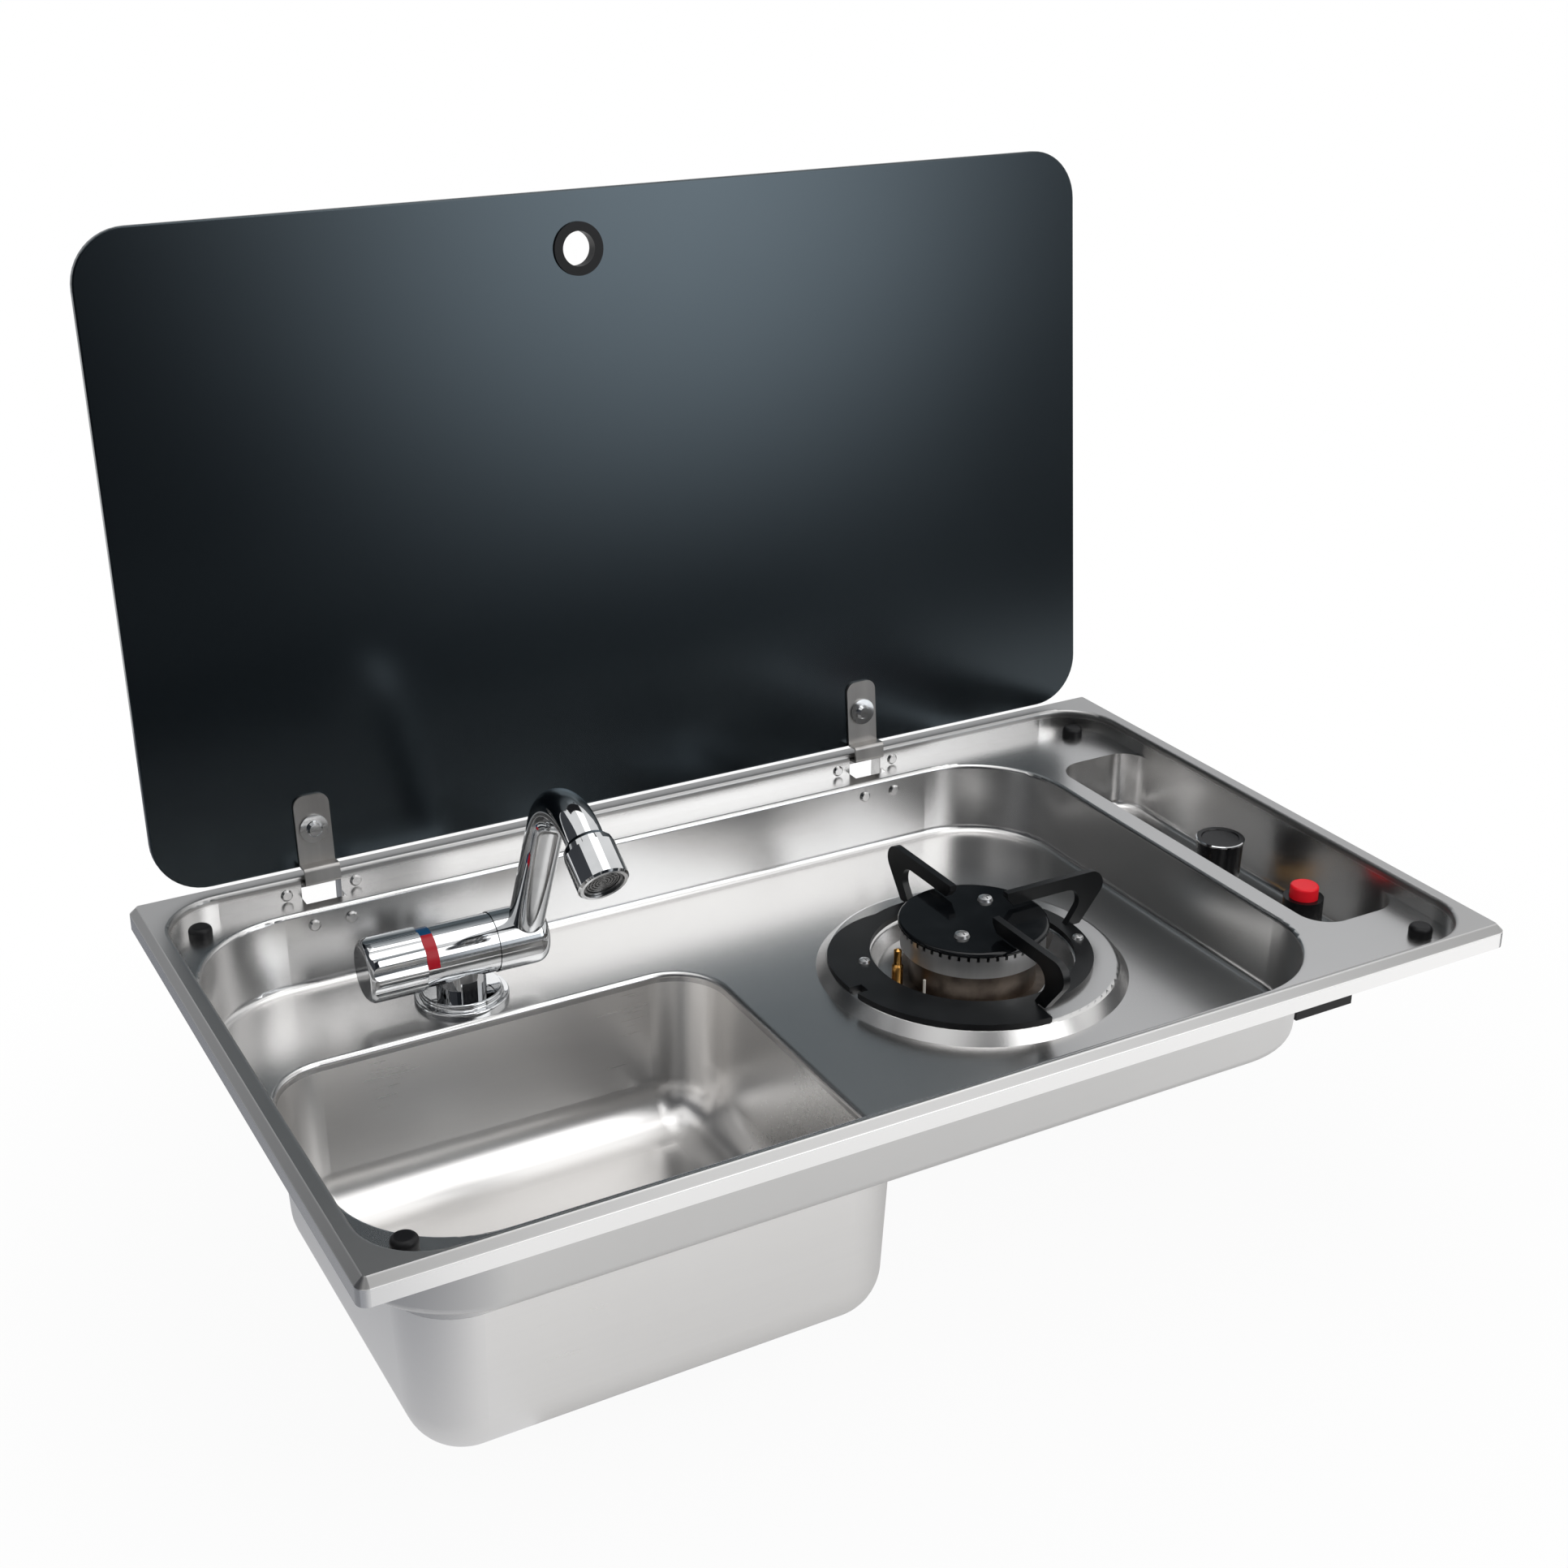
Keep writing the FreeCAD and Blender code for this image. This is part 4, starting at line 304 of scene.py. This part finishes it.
# Pieces that look different from the rest of their slot
strapFinish = metal("satinStrap", grey(0.36, 0.012), grey(0.47, 0.014), rough=0.40, grain=0.000003,
                    stretch=(1, 1, 0.08))
screwFinish = metal("brightScrew", grey(0.70), grey(0.84), rough=0.32, grain=0.000002)
ownFinish = {
    # the bowl is the same satin steel as the tray, painted lighter (tone 0.82 against 0.63) to stand in for
    # the light inside the bowl
    "sink_bowl": satinSteel("bowlSteel", tone=0.82, smooth=0.28, warm=0.012),
    "pan_support": enamel("satinEnamel", rough=0.36, peel=0.000006, gloss=0.4),
    "flame_crown": metal("brushedCrown", grey(0.70), grey(0.86), rough=0.38, grain=0.000003,
                         stretch=(1, 1, 0.04)),
    "hot_mark": plastic("hotRed", (0.46, 0.006, 0.018, 1), (0.54, 0.010, 0.024, 1),
                        rough=0.22, grain=0.000003),
    "cap_screws": screwFinish, "support_screws": screwFinish,
    "hinge_strap_left": strapFinish, "hinge_strap_right": strapFinish,
}

for row in frame["record"]["subparts"]:
    piece = nodes[row["node"]]
    piece.data.materials.clear()
    piece.data.materials.append(ownFinish.get(row["node"], finishes[row["material_slot"]]))
print("finishes on", len(nodes), "nodes")


# Aerator in the spout's mouth: a rim, stepped rings and fine spokes

aerator = {
    "axis": (-0.01464, -0.83854, -0.54464), "radius": 0.0101, "thick": 0.0040,
    "rim": 0.0017, "rimEdge": 0.0003, "sunk": 0.0011, "steps": 64,
    # foot and crest are half widths of a ring, in shares of the pitch
    "rings": 5, "core": 0.5, "ridge": 0.00045, "foot": 0.3, "crest": 0.2,
    # spokeHigh and spokeRise are shares of the ridge's height
    "spokes": 16, "spokeWide": 0.00032, "spokeHigh": 0.8, "spokeRise": 0.3,
    "deep": grey(0.16), "light": grey(0.30), "rough": 0.32, "grain": 0.000004,
}


def spun(mesh, profile, steps):
    # turns (radius, height) points about Z
    turns = [step * math.tau / steps for step in range(steps)]
    rows = [[mesh.verts.new((radius * math.cos(turn), radius * math.sin(turn), height)) for turn in turns]
            for radius, height in profile]
    for first, second in zip(rows, rows[1:]):
        for step in range(steps):
            mesh.faces.new((first[step], first[step - 1], second[step - 1], second[step]))
    mesh.faces.new(rows[0])
    mesh.faces.new(rows[-1][::-1])


def makeAerator():
    look = aerator
    outer = look["radius"]
    inner = outer - look["rim"]
    edge = look["rimEdge"]
    half = look["thick"] / 2
    floor = half - look["sunk"]
    top = floor + look["ridge"]
    pitch = inner / (look["rings"] + look["core"])
    foot = pitch * look["foot"]
    crest = pitch * look["crest"]
    profile = [(outer, -half), (outer, half - edge), (outer - edge, half),
               (inner + edge, half), (inner, half - edge), (inner, floor)]
    for ring in range(look["rings"], 0, -1):
        middle = ring * pitch
        profile += [(middle + foot, floor), (middle + crest, top),
                    (middle - crest, top), (middle - foot, floor)]
    profile.append((foot, floor))
    mesh = bmesh.new()
    spun(mesh, profile, look["steps"])
    size = Matrix.Diagonal((inner - foot, look["spokeWide"], look["ridge"] * look["spokeHigh"], 1))
    shift = Matrix.Translation(((inner + foot) / 2, 0, floor + look["ridge"] * look["spokeRise"]))
    for spoke in range(look["spokes"]):
        turn = Matrix.Rotation(spoke * math.tau / look["spokes"], 4, "Z")
        bmesh.ops.create_cube(mesh, size=1.0, matrix=turn @ shift @ size)
    low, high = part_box("spout_insert")
    mouth = Matrix.Translation((Vector(low) + Vector(high)) / 2)
    turn = Vector(look["axis"]).normalized().to_track_quat("Z", "Y").to_matrix().to_4x4()
    bmesh.ops.transform(mesh, matrix=mouth @ turn, verts=mesh.verts)
    bmesh.ops.recalc_face_normals(mesh, faces=mesh.faces)
    data = bpy.data.meshes.new("aerator")
    mesh.to_mesh(data)
    mesh.free()
    data.materials.append(metal("meshSteel", look["deep"], look["light"], look["rough"], look["grain"]))
    item = bpy.data.objects.new("aerator", data)
    bpy.context.scene.collection.objects.link(item)
    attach(item, "spout")
    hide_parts("spout_insert")


makeAerator()
print("aerator built")


# Stage: pale floor, white surround, soft boxes and cards that only reflections see

floorLook = {"below": 0.004, "half": 6.0, "pale": 0.82, "share": 0.06, "shinyShare": 0.74,
             "middle": (0.0, 0.17), "reach": (0.42, 0.34, 1.0), "fade": (0.6, 1.7)}
floorLevel = cadBox[0].z - floorLook["below"]


def raysThatSeeWhite(paint):
    path = paint.add("ShaderNodeLightPath", out="Is Camera Ray")
    outputs = path.socket.node.outputs
    shiny = Wire(paint, outputs["Is Glossy Ray"])
    through = Wire(paint, outputs["Is Transmission Ray"])
    return path.math("MAXIMUM", through), shiny


def sheet(name, wide, high, level=0.0):
    # a flat rectangle, given by its half sides
    mesh = bpy.data.meshes.new(name)
    corners = [(-wide, -high, level), (wide, -high, level), (wide, high, level), (-wide, high, level)]
    mesh.from_pydata(corners, [], [(0, 1, 2, 3)])
    return bpy.data.objects.new(name, mesh)


def makeFloor():
    floor = sheet("floor", floorLook["half"], floorLook["half"], floorLevel)
    bpy.context.scene.collection.objects.link(floor)
    paint = Paint("paleFloor")
    matt = paint.add("ShaderNodeBsdfDiffuse", None, {"Color": grey(floorLook["pale"])})
    bright = paint.add("ShaderNodeEmission", None, {"Color": white, "Strength": 1.0})
    far = paint.farFrom(floorLook["middle"] + (floorLevel,), floorLook["reach"])
    near = 1.0 - far.between(*floorLook["fade"])
    seen, shiny = raysThatSeeWhite(paint)
    share = seen * (1.0 - near * floorLook["share"]) + shiny * (1.0 - near * floorLook["shinyShare"])
    paint.show(paint.add("ShaderNodeMixShader", None, {0: share, 1: matt, 2: bright}))
    floor.data.materials.append(paint.material)


surround = {"light": 0.56, "seenLift": 0.44}


def makeWorld():
    world = bpy.data.worlds.new("studio")
    bpy.context.scene.world = world
    world.use_nodes = True
    paint = Paint("studio", world.node_tree)
    seen, shiny = raysThatSeeWhite(paint)
    strength = surround["light"] + seen.math("MAXIMUM", shiny) * surround["seenLift"]
    light = paint.add("ShaderNodeBackground", None, {"Color": white, "Strength": strength})
    paint.show(light, "ShaderNodeOutputWorld")


def faceTo(item, spot, aim):
    item.location = spot
    item.rotation_euler = (Vector(aim) - Vector(spot)).to_track_quat("-Z", "Y").to_euler()
    bpy.context.scene.collection.objects.link(item)


lamps = {
    "keyBox": {"at": (0.68, -1.15, 1.05), "aim": (0, 0.25, 0.1), "size": (1.15, 1.1), "power": 8.5},
    "topBox": {"at": (0.3, 0.1, 1.8), "aim": (0, 0.15, 0), "size": (1.4, 0.9), "power": 5},
}


def makeLamps():
    for name, look in lamps.items():
        data = bpy.data.lights.new(name, "AREA")
        data.shape = "RECTANGLE"
        data.size, data.size_y = look["size"]
        data.energy = look["power"]
        faceTo(bpy.data.objects.new(name, data), look["at"], look["aim"])


# A card with "over" lies flat, that far above the floor; a glow fades from its spot into the tone
cards = {
    "roomCard": {"at": (0.0, -1.8, 0.9), "aim": (0, 0.2, 0.6), "size": (5.0, 3.0),
                 "tone": (0.020, 0.023, 0.028, 1), "glow": (2.9, 3.05, 3.2, 1),
                 "spot": (1.15, -0.50, 0.0), "reach": (0.95, 0.80, 1.0)},
    "leftCard": {"at": (-1.5, 0.2, 0.5), "aim": (0, 0.2, 0.1), "size": (2.6, 1.6),
                 "tone": (0.06, 0.064, 0.072, 1)},
    "frontCard": {"at": (0.0, -1.2), "over": 0.0013, "size": (5.0, 1.3), "tone": (0.04, 0.045, 0.05, 1)},
    "sideCard": {"at": (-0.95, 0.23), "over": 0.0013, "size": (1.5, 1.54),
                 "tone": (0.28, 0.29, 0.315, 1), "glow": (0.95, 0.95, 0.95, 1),
                 "spot": (0.95, -0.30, 0.0), "reach": (0.55, 0.9, 1.0)},
    "lipCard": {"at": (-0.50, -0.36), "over": 0.0023, "size": (0.10, 0.22), "tone": (0.05, 0.05, 0.06, 1)},
    "endCard": {"at": (0.75, 0.0), "over": 0.0023, "size": (0.30, 0.30), "tone": (0.05, 0.05, 0.06, 1)},
    "backCard": {"at": (0.0, 2.4, 1.3), "aim": (0, 0, 1.3), "size": (8.0, 2.9),
                 "tone": (0.60, 0.61, 0.625, 1)},
    "overCard": {"at": (-0.05, 0.95, 1.25), "aim": (-0.1, 0.25, 0), "size": (1.3, 0.6),
                 "tone": (0.02, 0.02, 0.022, 1)},
}


def makeCards():
    for name, look in cards.items():
        wide, high = look["size"]
        card = sheet(name, wide / 2, high / 2)
        paint = Paint(name)
        colour = look["tone"]
        if "glow" in look:
            far = paint.farFrom(look["spot"], look["reach"])
            colour = paint.mix(far.between(0.0, 1.0), look["glow"], colour)
        paint.show(paint.add("ShaderNodeEmission", None, {"Color": colour, "Strength": 1.0}))
        card.data.materials.append(paint.material)
        if "over" in look:
            faceTo(card, look["at"] + (floorLevel + look["over"],), look["at"] + (-1,))
        else:
            faceTo(card, look["at"], look["aim"])
        for ray in ("camera", "diffuse", "shadow", "transmission"):
            setattr(card, "visible_" + ray, False)


# Camera: where the photograph was taken from, with its framing; focal, middle and frame in its pixels

eye = {"at": (-0.49113, -0.66590, 0.52309), "azimuth": -29.0136, "elevation": 22.6223, "roll": 0.1123,
       "focal": 2679.39, "middle": (950.07, 890.59), "frame": 1932, "sensor": 36.0, "clip": 0.05}


def makeCamera():
    data = bpy.data.cameras.new("eye")
    data.sensor_width = eye["sensor"]
    data.lens = eye["focal"] / eye["frame"] * eye["sensor"]
    data.shift_x = 0.5 - eye["middle"][0] / eye["frame"]
    data.shift_y = eye["middle"][1] / eye["frame"] - 0.5
    data.clip_start = eye["clip"]
    azimuth = math.radians(eye["azimuth"])
    elevation = math.radians(eye["elevation"])
    level = math.cos(elevation)
    back = Vector((math.sin(azimuth) * level, -math.cos(azimuth) * level, math.sin(elevation)))
    right = Vector((math.cos(azimuth), math.sin(azimuth), 0))
    turn = Matrix((right, back.cross(right), back)).transposed()
    camera = bpy.data.objects.new("eye", data)
    roll = Matrix.Rotation(math.radians(eye["roll"]), 3, "Z")
    camera.matrix_world = Matrix.Translation(eye["at"]) @ (turn @ roll).to_4x4()
    bpy.context.scene.collection.objects.link(camera)
    bpy.context.scene.camera = camera


makeFloor()
makeWorld()
makeLamps()
makeCards()
makeCamera()
bpy.context.scene.view_settings.view_transform = "Standard"
print("stage, lamps and camera are set")
